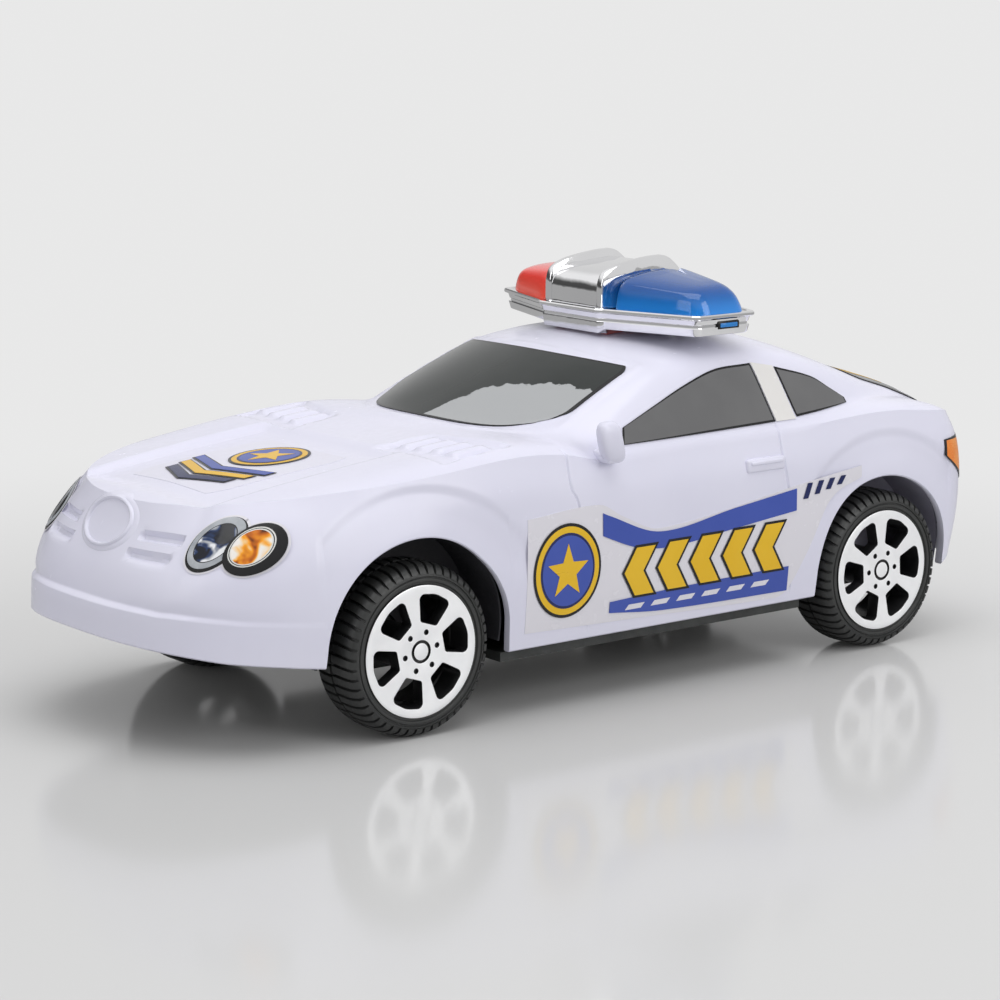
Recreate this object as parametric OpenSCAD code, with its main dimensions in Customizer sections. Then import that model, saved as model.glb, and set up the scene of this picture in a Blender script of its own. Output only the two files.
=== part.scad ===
/* [Overall size] */
// Distance between the two axles
wheelbase = 130; // [124:1:136]
// Nose ahead of the front axle
front_overhang = 55; // [52:1:58]
// Tail behind the rear axle
rear_overhang = 34; // [32:1:37]
// Width across the doors
body_width = 88; // [84:1:92]
// Height of the roof crest above the floor
roof_z = 73; // [71:0.2:75]
// Height of the bonnet at the foot of the windscreen
bonnet_z = 57; // [56:0.2:58.2]
// Height of the bonnet's leading edge
nose_z = 47.2; // [45.2:0.2:49.2]
// Height of the belt line at the doors
belt_z = 53.2; // [52.2:0.2:54.2]
// Height of the rear haunch
haunch_z = 56.2; // [55.2:0.2:57.2]
// Height of the tail edge
tail_z = 48.2; // [46.2:0.2:50.2]
// Height of the sill's lower edge
sill_z = 14.2; // [13.2:0.2:15.2]
// Height of the bumper's lower edge at the nose
bumper_z = 22.6; // [20.2:0.2:24.2]

/* [Shell] */
// Wall of the body shell
wall = 1.8; // [1.4:0.1:2.2]
// Step above the front bumper
ledge = 1.2; // [0.8:0.1:1.6]
// Depth of the bonnet panel between the wing ridges
panel_dip = 1.4; // [0.8:0.1:1.8]
// Gap between a tyre and its wheel arch
arch_gap = 3.7; // [3.2:0.1:4.2]
// Windscreen foot behind the front axle
screen_setback = 29.5; // [28:0.5:31]
// Windscreen length in plan
screen_run = 32.5; // [31:0.5:34]

/* [Wheels] */
// Tyre diameter
tyre_d = 35.9; // [34.9:0.2:36.9]
// Tyre width
tyre_w = 13; // [12:0.5:14]
// Diameter of the wheel disc
rim_d = 27.6; // [25:0.2:29]
// Axle diameter
axle_d = 3; // [2.5:0.1:3.5]
// Wheel face inside the widest part of the body
wheel_inset = 0.2; // [0:0.1:1]
// Radial clearance of a shaft in its bearing
run_gap = 0.06; // [0.03:0.01:0.1]

/* [Chassis] */
// Height of the chassis floor above the ground
chassis_z = 11.8; // [11:0.2:12.6]
// Thickness of the chassis floor
plate_t = 2; // [1.6:0.1:2.4]
// Rise of the front pan above the floor
front_rise = 8; // [7:0.5:9]
// Rise of the rear pan above the floor
rear_rise = 6; // [5:0.5:7]
// Fit between the chassis and the shell
fit = 0.4; // [0.2:0.1:0.6]
// Core hole for a self-tapping screw
screw_core = 2.2; // [2:0.1:2.4]
// Diameter of a screw head
screw_head = 5; // [4.6:0.1:5.4]

/* [Friction drive] */
// Gear size of the first stage
module_1 = 0.6; // [0.55:0.01:0.65]
// Gear size of the second stage
module_2 = 0.5; // [0.45:0.01:0.52]
// Flywheel diameter
flywheel_d = 25; // [22:0.5:26]
// Flywheel thickness
flywheel_w = 7; // [5:0.5:8]
// Wall of the gear case
case_wall = 1.4; // [1.2:0.1:1.8]

/* [Light bar] */
// Length of the bar across the roof
bar_len = 67; // [62:1:70]
// Depth of the bar at its middle
bar_mid = 31; // [29:1:33]
// Depth of the bar at its ends
bar_end = 16; // [14:1:18]
// Height of the chrome base
bar_base_h = 4.8; // [4:0.2:5.5]
// Height of the chrome cover over the base
cover_h = 10.6; // [9.8:0.2:11.4]
// Wall of the bar's covers
bar_wall = 1.2; // [1:0.1:1.5]

/* [Stickers] */
// Thickness of a sticker
sticker_t = 0.25; // [0.2:0.05:0.4]
// Gap under a sticker
sticker_gap = 0.3; // [0.25:0.05:0.4]

/* [Hidden] */
ENDS = ["front", "rear"];
SIDES = ["left", "right"];

body_len = front_overhang + wheelbase + rear_overhang;
x_nose = body_len / 2;
x_tail = -body_len / 2;
x_front = x_nose - front_overhang;
x_rear = x_front - wheelbase;
half_w = body_width / 2;
axle_z = tyre_d / 2;
arch_r = axle_z + arch_gap;
arch_lift = [1.6, 0];

function mix(a, b, t) = a + (b - a) * t;
function clamp01(t) = min(1, max(0, t));
function ease(t) = let (c = clamp01(t)) c * c * (3 - 2 * c);
function smax(a, b, k) = (a + b + sqrt((a - b) * (a - b) + k * k)) / 2;
function smin(a, b, k) = (a + b - sqrt((a - b) * (a - b) + k * k)) / 2;
function seg(x, p, i = 0) = i >= len(p) - 2 || x < p[i + 1][0] ? i : seg(x, p, i + 1);
function slope(p, i) =
    let (a = p[max(0, i - 1)], b = p[min(len(p) - 1, i + 1)])
    (b[1] - a[1]) / (b[0] - a[0]);
// Smooth curve through hand-placed points, level beyond both ends
function curve(x, p) =
    let (i = seg(x, p), a = p[i], b = p[i + 1], h = b[0] - a[0], t = clamp01((x - a[0]) / h))
    a[1] * (2 * t * t * t - 3 * t * t + 1) + slope(p, i) * h * (t * t * t - 2 * t * t + t)
    + b[1] * (3 * t * t - 2 * t * t * t) + slope(p, i + 1) * h * (t * t * t - t * t);

// Heights of the bonnet, deck and shoulder along the car
screen_x = x_front - screen_setback;
screen_top_x = screen_x - screen_run;
centre_line = [[x_tail + 3, tail_z], [x_tail + 10, tail_z + 4], [x_rear, belt_z + 1],
    [screen_x - 56, belt_z], [screen_x - 20, belt_z + 2.5], [screen_x, bonnet_z],
    [x_front - 22, bonnet_z - 0.9], [x_front - 6, bonnet_z - 2.4], [x_front + 12, bonnet_z - 3.6],
    [x_nose - 26, bonnet_z - 5.3], [x_nose - 15, nose_z + 2], [x_nose - 9.5, nose_z]];
ridge_line = [[x_tail + 3, tail_z], [x_tail + 10, tail_z + 4.4], [x_rear - 16, haunch_z - 1.4],
    [x_rear - 4, haunch_z], [x_rear + 8, haunch_z - 0.2], [x_rear + 28, belt_z + 1.4],
    [screen_x - 22, belt_z], [screen_x - 9, belt_z + 2.8], [x_front - 26, belt_z + 3.6],
    [x_front - 8, belt_z + 2.2], [x_front + 8, belt_z], [x_front + 22, belt_z - 2.2],
    [x_nose - 19, nose_z + 1.6], [x_nose - 9.5, nose_z]];
cabin_line = [[x_tail, roof_z - 24], [x_rear - 25, roof_z - 17.4], [x_rear - 17, roof_z - 14.2],
    [x_rear - 8, roof_z - 11.6], [x_rear, roof_z - 8.5], [x_rear + 8.5, roof_z - 5.4],
    [x_rear + 18, roof_z - 2.5], [x_rear + 30, roof_z - 0.6], [screen_top_x - 25, roof_z],
    [screen_top_x - 13, roof_z - 0.6], [screen_top_x, roof_z - 2.9], [screen_x, bonnet_z],
    [screen_x + 20, bonnet_z - 11]];
// Half width of the cabin at the belt
cabin_half = [[x_tail, half_w - 18], [x_rear - 15, half_w - 12], [x_rear + 4, half_w - 6],
    [x_rear + 20, half_w - 3.4], [screen_x - 26, half_w - 3], [screen_x - 10, half_w - 5.5],
    [screen_x, half_w - 9]];
side_lean = 1.9;
roof_crown = 0.0028;
screen_wrap = 0.0085;
edge_drop = 2.4;

// The bonnet panel lies below the two wing ridges
panel_edge = half_w - 20.4;
panel_slope = 2.6;
function panel_drop(x, y) =
    panel_dip * ease((x - x_front + 10.5) / 5) * (1 - ease((x - x_nose + 21) / 7))
    * ease((panel_edge - abs(y)) / panel_slope + 0.5);
function base_z(x, y) =
    let (e = min(1, abs(y) / (half_w - 2)), w = ease(e * 0.9 + 0.05))
    mix(curve(x, centre_line), curve(x, ridge_line), w) - edge_drop * pow(e, 14) - panel_drop(x, y);
function cabin_z(x, y) =
    let (wrap = screen_wrap * ease((x - x_rear) / (screen_x - x_rear)),
        top = curve(x + wrap * y * y, cabin_line) - roof_crown * y * y,
        side = belt_z + (curve(x, cabin_half) - abs(y)) * side_lean)
    smin(top, side, 4);
// Height of the outer skin over a point in plan
function top_z(x, y) = smax(base_z(x, y), cabin_z(x, y), 1.5);

// Plan outline of the wall, t runs from the lower rim to the shoulder, g is the inset
nose_in = [[0, 0], [0.25, 0.6], [0.5, 3], [0.8, 7.9], [1, 10.6]];
side_in = [[0, 1.4], [0.3, 0.3], [0.55, 0], [0.8, 0.4], [1, 2.2]];
tail_in = [[0, 2], [0.3, 0.4], [0.55, 0.1], [0.85, 1.2], [1, 3.5]];
nose_power = [[0, 2.8], [0.25, 2.8], [0.36, 3.1], [0.6, 3.1], [1, 2.5]];
nose_start = [[0, 3], [0.25, 1], [0.36, -5], [0.7, -10], [1, -16]];
tail_power = 5;
ledge_t = 0.25;
ledge_dt = 0.04;
function nose_tip(t, g) = x_nose - g - curve(t, nose_in) - ledge * ease((t - ledge_t) / ledge_dt);
function tail_tip(t, g) = x_tail + g + curve(t, tail_in);
function wide(t, g) = half_w - g - curve(t, side_in);
function bend_x(t, g) = x_front + curve(t, nose_start) - g;
function side_y(x, t, g) =
    let (b = wide(t, g), xf = bend_x(t, g), p = curve(t, nose_power),
        f = max(0, x - xf) / (nose_tip(t, g) - xf), r = max(0, x_rear - x) / (x_rear - tail_tip(t, g)))
    b * pow(max(0, 1 - pow(f, p)), 1 / p) * pow(max(0, 1 - pow(r, tail_power)), 1 / tail_power);
function front_x(y, t, g) =
    let (p = curve(t, nose_power), xf = bend_x(t, g))
    xf + (nose_tip(t, g) - xf) * pow(max(0, 1 - pow(abs(y) / wide(t, g), p)), 1 / p);
function rear_x(y, t, g) =
    let (p = tail_power)
    x_rear - (x_rear - tail_tip(t, g)) * pow(max(0, 1 - pow(abs(y) / wide(t, g), p)), 1 / p);
function corner_f(t, g) =
    let (k = pow(0.5, 1 / curve(t, nose_power)))
    [mix(bend_x(t, g), nose_tip(t, g), k), wide(t, g) * k];
function corner_r(t, g) =
    let (k = pow(0.5, 1 / tail_power))
    [mix(x_rear, tail_tip(t, g), k), wide(t, g) * k];

// Lower rim: sill between the wheels, rising bumpers, and an arch over each wheel
rim_line = [[x_tail, sill_z + 5.5], [x_rear - arch_r, sill_z + 1.8], [x_rear + arch_r, sill_z],
    [x_front - arch_r, sill_z], [x_front + arch_r, bumper_z - 5.5], [x_nose - 14, bumper_z - 2.9],
    [x_nose, bumper_z]];
function arch_z(x, xa, lift) =
    let (d = arch_r * arch_r - (x - xa) * (x - xa))
    d < 0 ? 0 : axle_z + lift + sqrt(d);
function rim_z(x) = lookup(x, rim_line);
function edge_z(x) = max(rim_z(x), arch_z(x, x_front, arch_lift[0]), arch_z(x, x_rear, arch_lift[1]));

// Columns round the wall: the side list runs from the front corner to the rear corner
arch_step = 15;
arch_lip = 0.2;
sill_n = 14;
side_cols = concat(
    [for (v = [1, 0.75, 0.5, 0.25]) [0, v]],
    [[1, x_front + arch_r + arch_lip]],
    [for (a = [0:arch_step:180]) [1, x_front + arch_r * cos(a)]],
    [[1, x_front - arch_r - arch_lip]],
    [for (i = [1:sill_n - 1]) [1, mix(x_front - arch_r, x_rear + arch_r, i / sill_n)]],
    [[1, x_rear + arch_r + arch_lip]],
    [for (a = [0:arch_step:180]) [1, x_rear + arch_r * cos(a)]],
    [[1, x_rear - arch_r - arch_lip]],
    [for (v = [0.5, 1]) [2, v]]);
cross = [1, 0.93, 0.86, 0.79, 0.72, 0.66, 0.6, 0.53, 0.36, 0.18];
across = concat(cross, [0], [for (i = [len(cross) - 1:-1:0]) -cross[i]]);
levels = [0, 0.12, ledge_t, ledge_t + ledge_dt, 0.42, 0.55, 0.7, 0.82, 0.92, 1];
ns = len(side_cols);
ny = len(across) - 1;
loop_n = 2 * (ns - 1) + 2 * ny;

function side_x(c, t, g) =
    c[0] == 0 ? mix(x_front + arch_r + arch_lip, corner_f(t, g)[0], c[1])
    : c[0] == 1 ? c[1]
    : mix(x_rear - arch_r - arch_lip, corner_r(t, g)[0], c[1]);
// Plan place of a loop column at level t
function plan(k, t, g) =
    k < ns ? let (x = side_x(side_cols[k], t, g)) [x, side_y(x, t, g)]
    : k < ns - 1 + ny ? let (y = across[k - ns + 1] * corner_r(t, g)[1]) [rear_x(y, t, g), y]
    : k < 2 * ns - 1 + ny ? let (p = plan(2 * ns - 2 + ny - k, t, g)) [p[0], -p[1]]
    : let (y = across[loop_n - k] * corner_f(t, g)[1]) [front_x(y, t, g), y];
// One column of the wall from the rim up to the shoulder
function column(k, g, drop) =
    let (low = plan(k, 0, g), high = plan(k, 1, g), z0 = rim_z(low[0]), z1 = top_z(high[0], high[1]) - drop,
        ze = max(z0, edge_z(low[0])))
    [for (s = levels)
        let (z = mix(ze, z1, s), t = (z - z0) / (z1 - z0), p = plan(k, t, g)) [p[0], p[1], z]];
// Plan grid of the cap, spanned by the shoulder's four sides
function cap_xy(i, j, g) =
    let (l = plan(i, 1, g), x0 = corner_r(1, g)[0], x1 = corner_f(1, g)[0], u = (l[0] - x0) / (x1 - x0),
        v = (1 - across[j]) / 2, f = plan((loop_n - j) % loop_n, 1, g), r = plan(ns - 1 + j, 1, g),
        cf = corner_f(1, g), cr = corner_r(1, g))
    [l[0] + mix(r[0], f[0], u) - mix(cr[0], cf[0], u),
        l[1] * across[j] + mix(r[1], f[1], u) - across[j] * mix(cr[1], cf[1], u)];
function cap_points(g, drop) =
    [for (i = [1:ns - 2]) for (j = [1:ny - 1])
        let (p = cap_xy(i, j, g)) [p[0], p[1], top_z(p[0], p[1]) - drop]];
function skin_points(g, drop) =
    let (cols = [for (k = [0:loop_n - 1]) column(k, g, drop)])
    concat([for (s = [0:len(levels) - 1]) for (k = [0:loop_n - 1]) cols[k][s]], cap_points(g, drop));
function cap_index(i, j) =
    let (top = (len(levels) - 1) * loop_n)
    j == 0 ? top + i
    : j == ny ? top + 2 * (ns - 1) + ny - i
    : i == ns - 1 ? top + ns - 1 + j
    : i == 0 ? top + loop_n - j
    : top + loop_n + (i - 1) * (ny - 1) + j - 1;
function skin_faces() = concat(
    [for (s = [0:len(levels) - 2]) for (k = [0:loop_n - 1])
        let (a = s * loop_n + k, b = s * loop_n + (k + 1) % loop_n)
        each [[a, a + loop_n, b], [b, a + loop_n, b + loop_n]]],
    [for (i = [0:ns - 2]) for (j = [0:ny - 1])
        let (a = cap_index(i, j), b = cap_index(i + 1, j), c = cap_index(i + 1, j + 1),
            d = cap_index(i, j + 1))
        each [[a, c, b], [a, d, c]]]);

// Wheels and axles
wheel_y = half_w - wheel_inset;
axle_half = wheel_y - 2.4;
rim_r = rim_d / 2;
bead_r = rim_r - 0.8;
bead_w = 1.2;
hub_r = axle_d / 2 + 3;
rim_set = 0.1;
rim_wall = 1.6;
disc_set = 3.4;
disc_t = 3.2;
spoke_n = 6;
function wheel_x(end) = end == "front" ? x_front : x_rear;
function hand(side) = side == "left" ? 1 : -1;

// Chassis
spine_half = wheel_y - tyre_w - 1.8;
tub_half = half_w - side_in[0][1] - wall - fit;
plate_top = chassis_z + plate_t;
front_pan_z = chassis_z + front_rise;
rear_pan_z = chassis_z + rear_rise;
post_r = screw_core / 2 + 2.1;
post_y = 18;
post_xs = [x_nose - 24, x_tail + 15];
pan_tops = [front_pan_z + plate_t, rear_pan_z + plate_t];
pan_ends = [x_nose - 14, x_tail + 12];
screw_hole = screw_core + 0.8;
head_h = 1.5;
screw_bite = 8;
lug_w = 5;
pad_h = 0.8;
pad_half = 24;

// Friction drive: gears lie in the plane across the car, mesh lines rise forward
teeth = [20, 8, 24, 8];
rise = 35;
mesh_gap = 0.1;
reach_1 = module_1 * (teeth[0] + teeth[1]) / 2 + mesh_gap;
reach_2 = module_2 * (teeth[2] + teeth[3]) / 2 + mesh_gap;
idler_at = [x_rear + reach_1 * cos(rise), axle_z + reach_1 * sin(rise)];
fly_at = idler_at + reach_2 * [cos(rise), sin(rise)];
pin_d = 2;
gear_w = 3.6;
side_gap = 0.5;
motor_plate_w = 1.2;
case_gap = 0.7;
case_r1 = module_1 * (teeth[0] / 2 + 1) + case_gap + case_wall;
case_r2 = flywheel_d / 2 + case_gap + case_wall;
idler_w0 = side_gap;
idler_w1 = idler_w0 + gear_w;
pinion_y1 = idler_w1 + gear_w + 2 * side_gap;
case_left = pinion_y1 + side_gap + case_wall;
case_right = motor_plate_w + flywheel_w + 2 * side_gap + case_wall;
arc_n = 40;
ear_w = 9;
pad_x0 = fly_at[0] + case_r2 + 6;
pad_x1 = x_front - arch_r - 8;
ear_h = 3;
ear_y = 4.5;
ear_ys = [case_left + ear_y, -case_right - ear_y];

// Light bar
bar_x = screen_top_x - 28;
bar_z = roof_z + 0.8;
bar_top = bar_z + bar_base_h;
bar_half = bar_len / 2;
cover_y = 7.9;
cover_dip = 1.7;
flange_y = 9.9;
bar_mid_y = 11;
bar_lip = 0.8;
bar_step = 1;
dome_y0 = flange_y + 0.3;
dome_y1 = bar_half - 0.4;
dome_h0 = cover_h - 2.6;
dome_h1 = cover_h - 5.2;
bar_screw_y = 16;
boss_wall = 2;
function bar_depth(y) =
    mix(bar_mid / 2, bar_end / 2, clamp01((abs(y) - bar_mid_y) / (bar_half - bar_mid_y)));

module along_y(y0, y1) {
    translate([0, y1, 0]) rotate([90, 0, 0]) linear_extrude(y1 - y0) children();
}
module bar_y(d, y0, y1, x, z, n = 48) {
    translate([x, y1, z]) rotate([90, 0, 0]) cylinder(h = y1 - y0, d = d, $fn = n);
}

module skin_solid() {
    outer = skin_points(0, 0);
    inner = skin_points(wall, wall);
    n = len(outer);
    faces = skin_faces();
    rim = [for (k = [0:loop_n - 1]) let (b = (k + 1) % loop_n) each [[k, b, n + b], [k, n + b, n + k]]];
    polyhedron(concat(outer, inner), concat(faces, [for (f = faces) [n + f[0], n + f[2], n + f[1]]], rim));
}
mirror_x = screen_x - 19;
mirror_r = 1.8;
module door_mirror() {
    hull() {
        translate([mirror_x + 2.6, half_w, belt_z + 1]) sphere(r = mirror_r, $fn = 16);
        translate([mirror_x - 0.5, half_w + 1, belt_z + 4.6]) sphere(r = mirror_r, $fn = 16);
        translate([mirror_x - 2, half_w + 0.6, belt_z + 0.2]) sphere(r = mirror_r, $fn = 16);
        translate([mirror_x - 1, half_w - 3, belt_z]) sphere(r = mirror_r, $fn = 16);
    }
}
handle_x = screen_x - 64;
handle_z = belt_z - 7;
handle_long = 11;
handle_d = 2.6;
module door_handle() {
    y = side_y(handle_x, wall_t(handle_x, handle_z), 0);
    translate([handle_x - handle_long / 2, y - 0.2, handle_z]) rotate([0, 90, 0])
        cylinder(h = handle_long, d = handle_d, $fn = 32);
}
badge_z = nose_z - 3.7;
badge_half = [7.8, 4.7];
badge_tilt = 67;
badge_sink = 1.6;
module badge() {
    translate([nose_point(0, badge_z)[0] - badge_sink, 0, badge_z - 0.6]) rotate([0, badge_tilt, 0])
        linear_extrude(badge_sink + 1)
            polygon([for (a = [0:12:348]) [badge_half[1] * cos(a), badge_half[0] * sin(a)]]);
}
slot_h = 1.5;
slots = [[nose_z - 4.3, half_w - 32.4, half_w - 21.5], [nose_z - 8, half_w - 33.5, half_w - 22]];
module grille_slots() {
    for (g = slots) for (s = [-1, 1])
        translate([post_xs[0] + post_r + 1, s > 0 ? g[1] : -g[2], g[0]])
            cube([x_nose - post_xs[0], g[2] - g[1], slot_h]);
}
module body_shell() {
    color("ghostwhite") difference() {
        union() {
            skin_solid();
            door_mirror();
            door_handle();
            mirror([0, 1, 0]) door_handle();
            badge();
            for (i = [0, 1]) for (s = [-1, 1]) translate([post_xs[i], s * post_y, pan_tops[i]])
                cylinder(h = top_z(post_xs[i], post_y) - wall / 2 - pan_tops[i], r = post_r, $fn = 48);
        }
        for (i = [0, 1]) for (s = [-1, 1]) translate([post_xs[i], s * post_y, pan_tops[i] - 1])
            cylinder(h = screw_bite + 4, d = screw_core, $fn = 32);
        for (s = [-1, 1]) translate([bar_x, s * bar_screw_y, bar_z - 8])
            cylinder(h = 10, d = screw_hole, $fn = 32);
        grille_slots();
    }
}

module chassis() {
    ramp_f = x_front + 10;
    ramp_r = x_rear - 11;
    color("dimgray") difference() {
        union() {
            along_y(-spine_half, spine_half) polygon([
                [pan_ends[1], rear_pan_z], [ramp_r - 5, rear_pan_z], [ramp_r, chassis_z],
                [ramp_f, chassis_z], [ramp_f + 10, front_pan_z], [pan_ends[0], front_pan_z],
                [pan_ends[0], pan_tops[0]], [ramp_f + 9, pan_tops[0]], [ramp_f - 1, plate_top],
                [ramp_r + 1, plate_top], [ramp_r - 4, pan_tops[1]], [pan_ends[1], pan_tops[1]]]);
            translate([x_rear + arch_r + 1, -tub_half, chassis_z])
                cube([wheelbase - 2 * arch_r - 2, 2 * tub_half, plate_t]);
            translate([pad_x0, -pad_half, chassis_z - pad_h]) cube([pad_x1 - pad_x0, 2 * pad_half, plate_t]);
            for (s = [-1, 1]) translate([x_front - 5, s * (spine_half - lug_w / 2) - lug_w / 2, chassis_z])
                cube([10, lug_w, axle_z + axle_d / 2 + 3 - chassis_z]);
        }
        bar_y(axle_d + 2 * run_gap, -half_w, half_w, x_front, axle_z);
        translate([x_rear - case_r1 - fit, -case_right - fit, chassis_z - 8])
            cube([fly_at[0] - x_rear + case_r1 + case_r2 + 2 * fit, case_left + case_right + 2 * fit, 20]);
        for (i = [0, 1]) for (s = [-1, 1]) translate([post_xs[i], s * post_y, chassis_z])
            cylinder(h = 20, d = screw_hole, $fn = 32);
        for (y = ear_ys) translate([fly_at[0], y, chassis_z - 1])
            cylinder(h = plate_t + 2, d = screw_core, $fn = 32);
    }
}

module axle(end) {
    color("silver") bar_y(axle_d, -axle_half, axle_half, wheel_x(end), axle_z);
}
module at_wheel(end, side) {
    translate([wheel_x(end), hand(side) * wheel_y, axle_z]) rotate([hand(side) * -90, 0, 0]) children();
}
// A wheel's own axis points outwards, with its face at zero
module rim(end, side) {
    turn = end == "front" ? 11.5 : 3;
    color("silver") at_wheel(end, side) difference() {
        union() {
            rotate_extrude($fn = 96) polygon([[bead_r - rim_wall, -tyre_w + 1], [bead_r, -tyre_w + 1],
                [bead_r, -bead_w - rim_set], [rim_r, -bead_w - rim_set], [rim_r, -rim_set],
                [bead_r - rim_wall, -rim_set]]);
            translate([0, 0, -disc_set]) cylinder(h = disc_t, r = bead_r - rim_wall / 2, $fn = 96);
            translate([0, 0, -tyre_w + 1]) cylinder(h = tyre_w - 2, r = hub_r, $fn = 48);
        }
        for (i = [0:spoke_n - 1]) rotate(turn + i * 360 / spoke_n) translate([0, 0, -disc_set - 1])
            linear_extrude(disc_set + 1) polygon([[hub_r + 1.2, -2.1], [bead_r - 1.8, -4.2],
                [bead_r - 1, -2.2], [bead_r - 1, 2.2], [bead_r - 1.8, 4.2], [hub_r + 1.2, 2.1]]);
        translate([0, 0, -tyre_w]) cylinder(h = tyre_w - (wheel_y - axle_half), d = axle_d, $fn = 48);
    }
}
module tyre(end, side) {
    r = tyre_d / 2;
    color("black") at_wheel(end, side) rotate_extrude($fn = 96) polygon([[bead_r, -tyre_w + 0.6],
        [rim_r + 1, -tyre_w], [r - 1.9, -tyre_w + 0.1], [r - 0.5, -tyre_w + 1.2], [r, -tyre_w + 3],
        [r, -3], [r - 0.5, -1.2], [r - 1.9, -0.1], [rim_r + 1, 0], [rim_r, -rim_set],
        [rim_r, -bead_w - rim_set], [bead_r, -bead_w - rim_set]]);
}

// Straight-flanked teeth with play at the pitch line
function gear_outline(m, n, phase) =
    let (step = 360 / n, tip = m * (n / 2 + 0.8), root = m * (n / 2 - 1.15))
    [for (i = [0:n - 1]) for (q = [[root, -0.27], [tip, -0.1], [tip, 0.1], [root, 0.27]])
        let (a = phase + (i + q[1]) * step) q[0] * [cos(a), sin(a)]];
module gear(m, n, phase, y0, y1, at) {
    along_y(y0, y1) translate(at) polygon(gear_outline(m, n, phase));
}
module axle_gear() {
    color("white") difference() {
        union() {
            gear(module_1, teeth[0], rise, idler_w1 + side_gap, pinion_y1 - side_gap, [x_rear, axle_z]);
            bar_y(axle_d + 3, idler_w1 + side_gap, pinion_y1, x_rear, axle_z);
        }
        bar_y(axle_d, -half_w, half_w, x_rear, axle_z);
    }
}
module idler_gear() {
    color("white") difference() {
        union() {
            gear(module_2, teeth[2], rise, idler_w0, idler_w1, idler_at);
            gear(module_1, teeth[1], rise + 180 + 180 / teeth[1], idler_w1, pinion_y1 - side_gap, idler_at);
        }
        bar_y(pin_d + 2 * run_gap, -half_w, half_w, idler_at[0], idler_at[1]);
    }
}
module idler_pin() {
    color("silver") bar_y(pin_d, -motor_plate_w, case_left, idler_at[0], idler_at[1]);
}
module flywheel_shaft() {
    color("silver") union() {
        bar_y(pin_d, -case_right, case_left, fly_at[0], fly_at[1]);
        gear(module_2, teeth[3], rise + 180 + 180 / teeth[3], idler_w0, idler_w1, fly_at);
    }
}
module flywheel() {
    y1 = -motor_plate_w - side_gap;
    color("slategray") difference() {
        bar_y(flywheel_d, y1 - flywheel_w, y1, fly_at[0], fly_at[1], 96);
        bar_y(pin_d, -half_w, half_w, fly_at[0], fly_at[1]);
    }
}
module case_outline(inset) {
    r1 = case_r1 - inset;
    r2 = case_r2 - inset;
    spread = acos((r1 - r2) / (reach_1 + reach_2));
    polygon(concat(
        [for (i = [0:arc_n]) let (a = rise + mix(spread, 360 - spread, i / arc_n))
            [x_rear, axle_z] + r1 * [cos(a), sin(a)]],
        [for (i = [0:arc_n]) let (a = rise + mix(-spread, spread, i / arc_n))
            fly_at + r2 * [cos(a), sin(a)]]));
}
module case_bores(pins) {
    bar_y(axle_d + 2 * run_gap, -half_w, half_w, x_rear, axle_z);
    bar_y(pin_d + 2 * run_gap, -half_w, half_w, fly_at[0], fly_at[1]);
    if (pins) bar_y(pin_d, -half_w, half_w, idler_at[0], idler_at[1]);
}
module case_half(y_open, y_wall) {
    lo = min(y_open, y_wall);
    hi = max(y_open, y_wall);
    s = sign(y_wall - y_open);
    ear0 = y_wall - s * case_wall;
    difference() {
        union() {
            along_y(lo, hi) case_outline(0);
            translate([fly_at[0] - ear_w / 2, min(ear0, ear0 + s * ear_w), plate_top])
                cube([ear_w, ear_w, ear_h]);
        }
        along_y(s > 0 ? lo - 1 : lo + case_wall, s > 0 ? hi - case_wall : hi + 1) case_outline(case_wall);
        case_bores(s > 0);
        translate([fly_at[0], y_wall + s * ear_y, plate_top - 1])
            cylinder(h = ear_h + 2, d = screw_hole, $fn = 32);
    }
}
module motor_case_left() { color("darkgray") case_half(0, case_left); }
module motor_case_right() { color("darkgray") case_half(-motor_plate_w, -case_right); }
module motor_plate() {
    color("gainsboro") difference() {
        along_y(-motor_plate_w, 0) case_outline(0);
        case_bores(true);
    }
}

module bar_outline(grow) {
    offset(r = 1.4 + grow, $fn = 24) offset(delta = -1.4) translate([bar_x, 0]) polygon([
        for (q = [[1, 1], [-1, 1], [-1, -1], [1, -1]]) each let (
            b = [q[0] * (bar_mid / 2 + bar_step), q[1] * (bar_mid_y - 1.5 * bar_step)],
            m = [q[0] * bar_mid / 2, q[1] * bar_mid_y], e = [q[0] * bar_end / 2, q[1] * bar_half])
            q[0] * q[1] > 0 ? [b, m, e] : [e, m, b]]);
}
module light_bar_base() {
    lip_h = 1;
    color("lightgray") difference() {
        union() {
            translate([0, 0, bar_z]) linear_extrude(bar_base_h - lip_h) bar_outline(0);
            translate([0, 0, bar_top - lip_h]) linear_extrude(lip_h) bar_outline(bar_lip);
        }
        translate([0, 0, bar_z + bar_wall]) linear_extrude(bar_base_h) difference() {
            bar_outline(-2.2);
            for (s = [-1, 1]) translate([bar_x, s * bar_screw_y])
                circle(d = screw_core + 2 * boss_wall, $fn = 32);
        }
        for (s = [-1, 1]) translate([bar_x, s * bar_screw_y, bar_z - 1])
            cylinder(h = bar_base_h - 0.2, d = screw_core, $fn = 32);
    }
}
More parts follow.
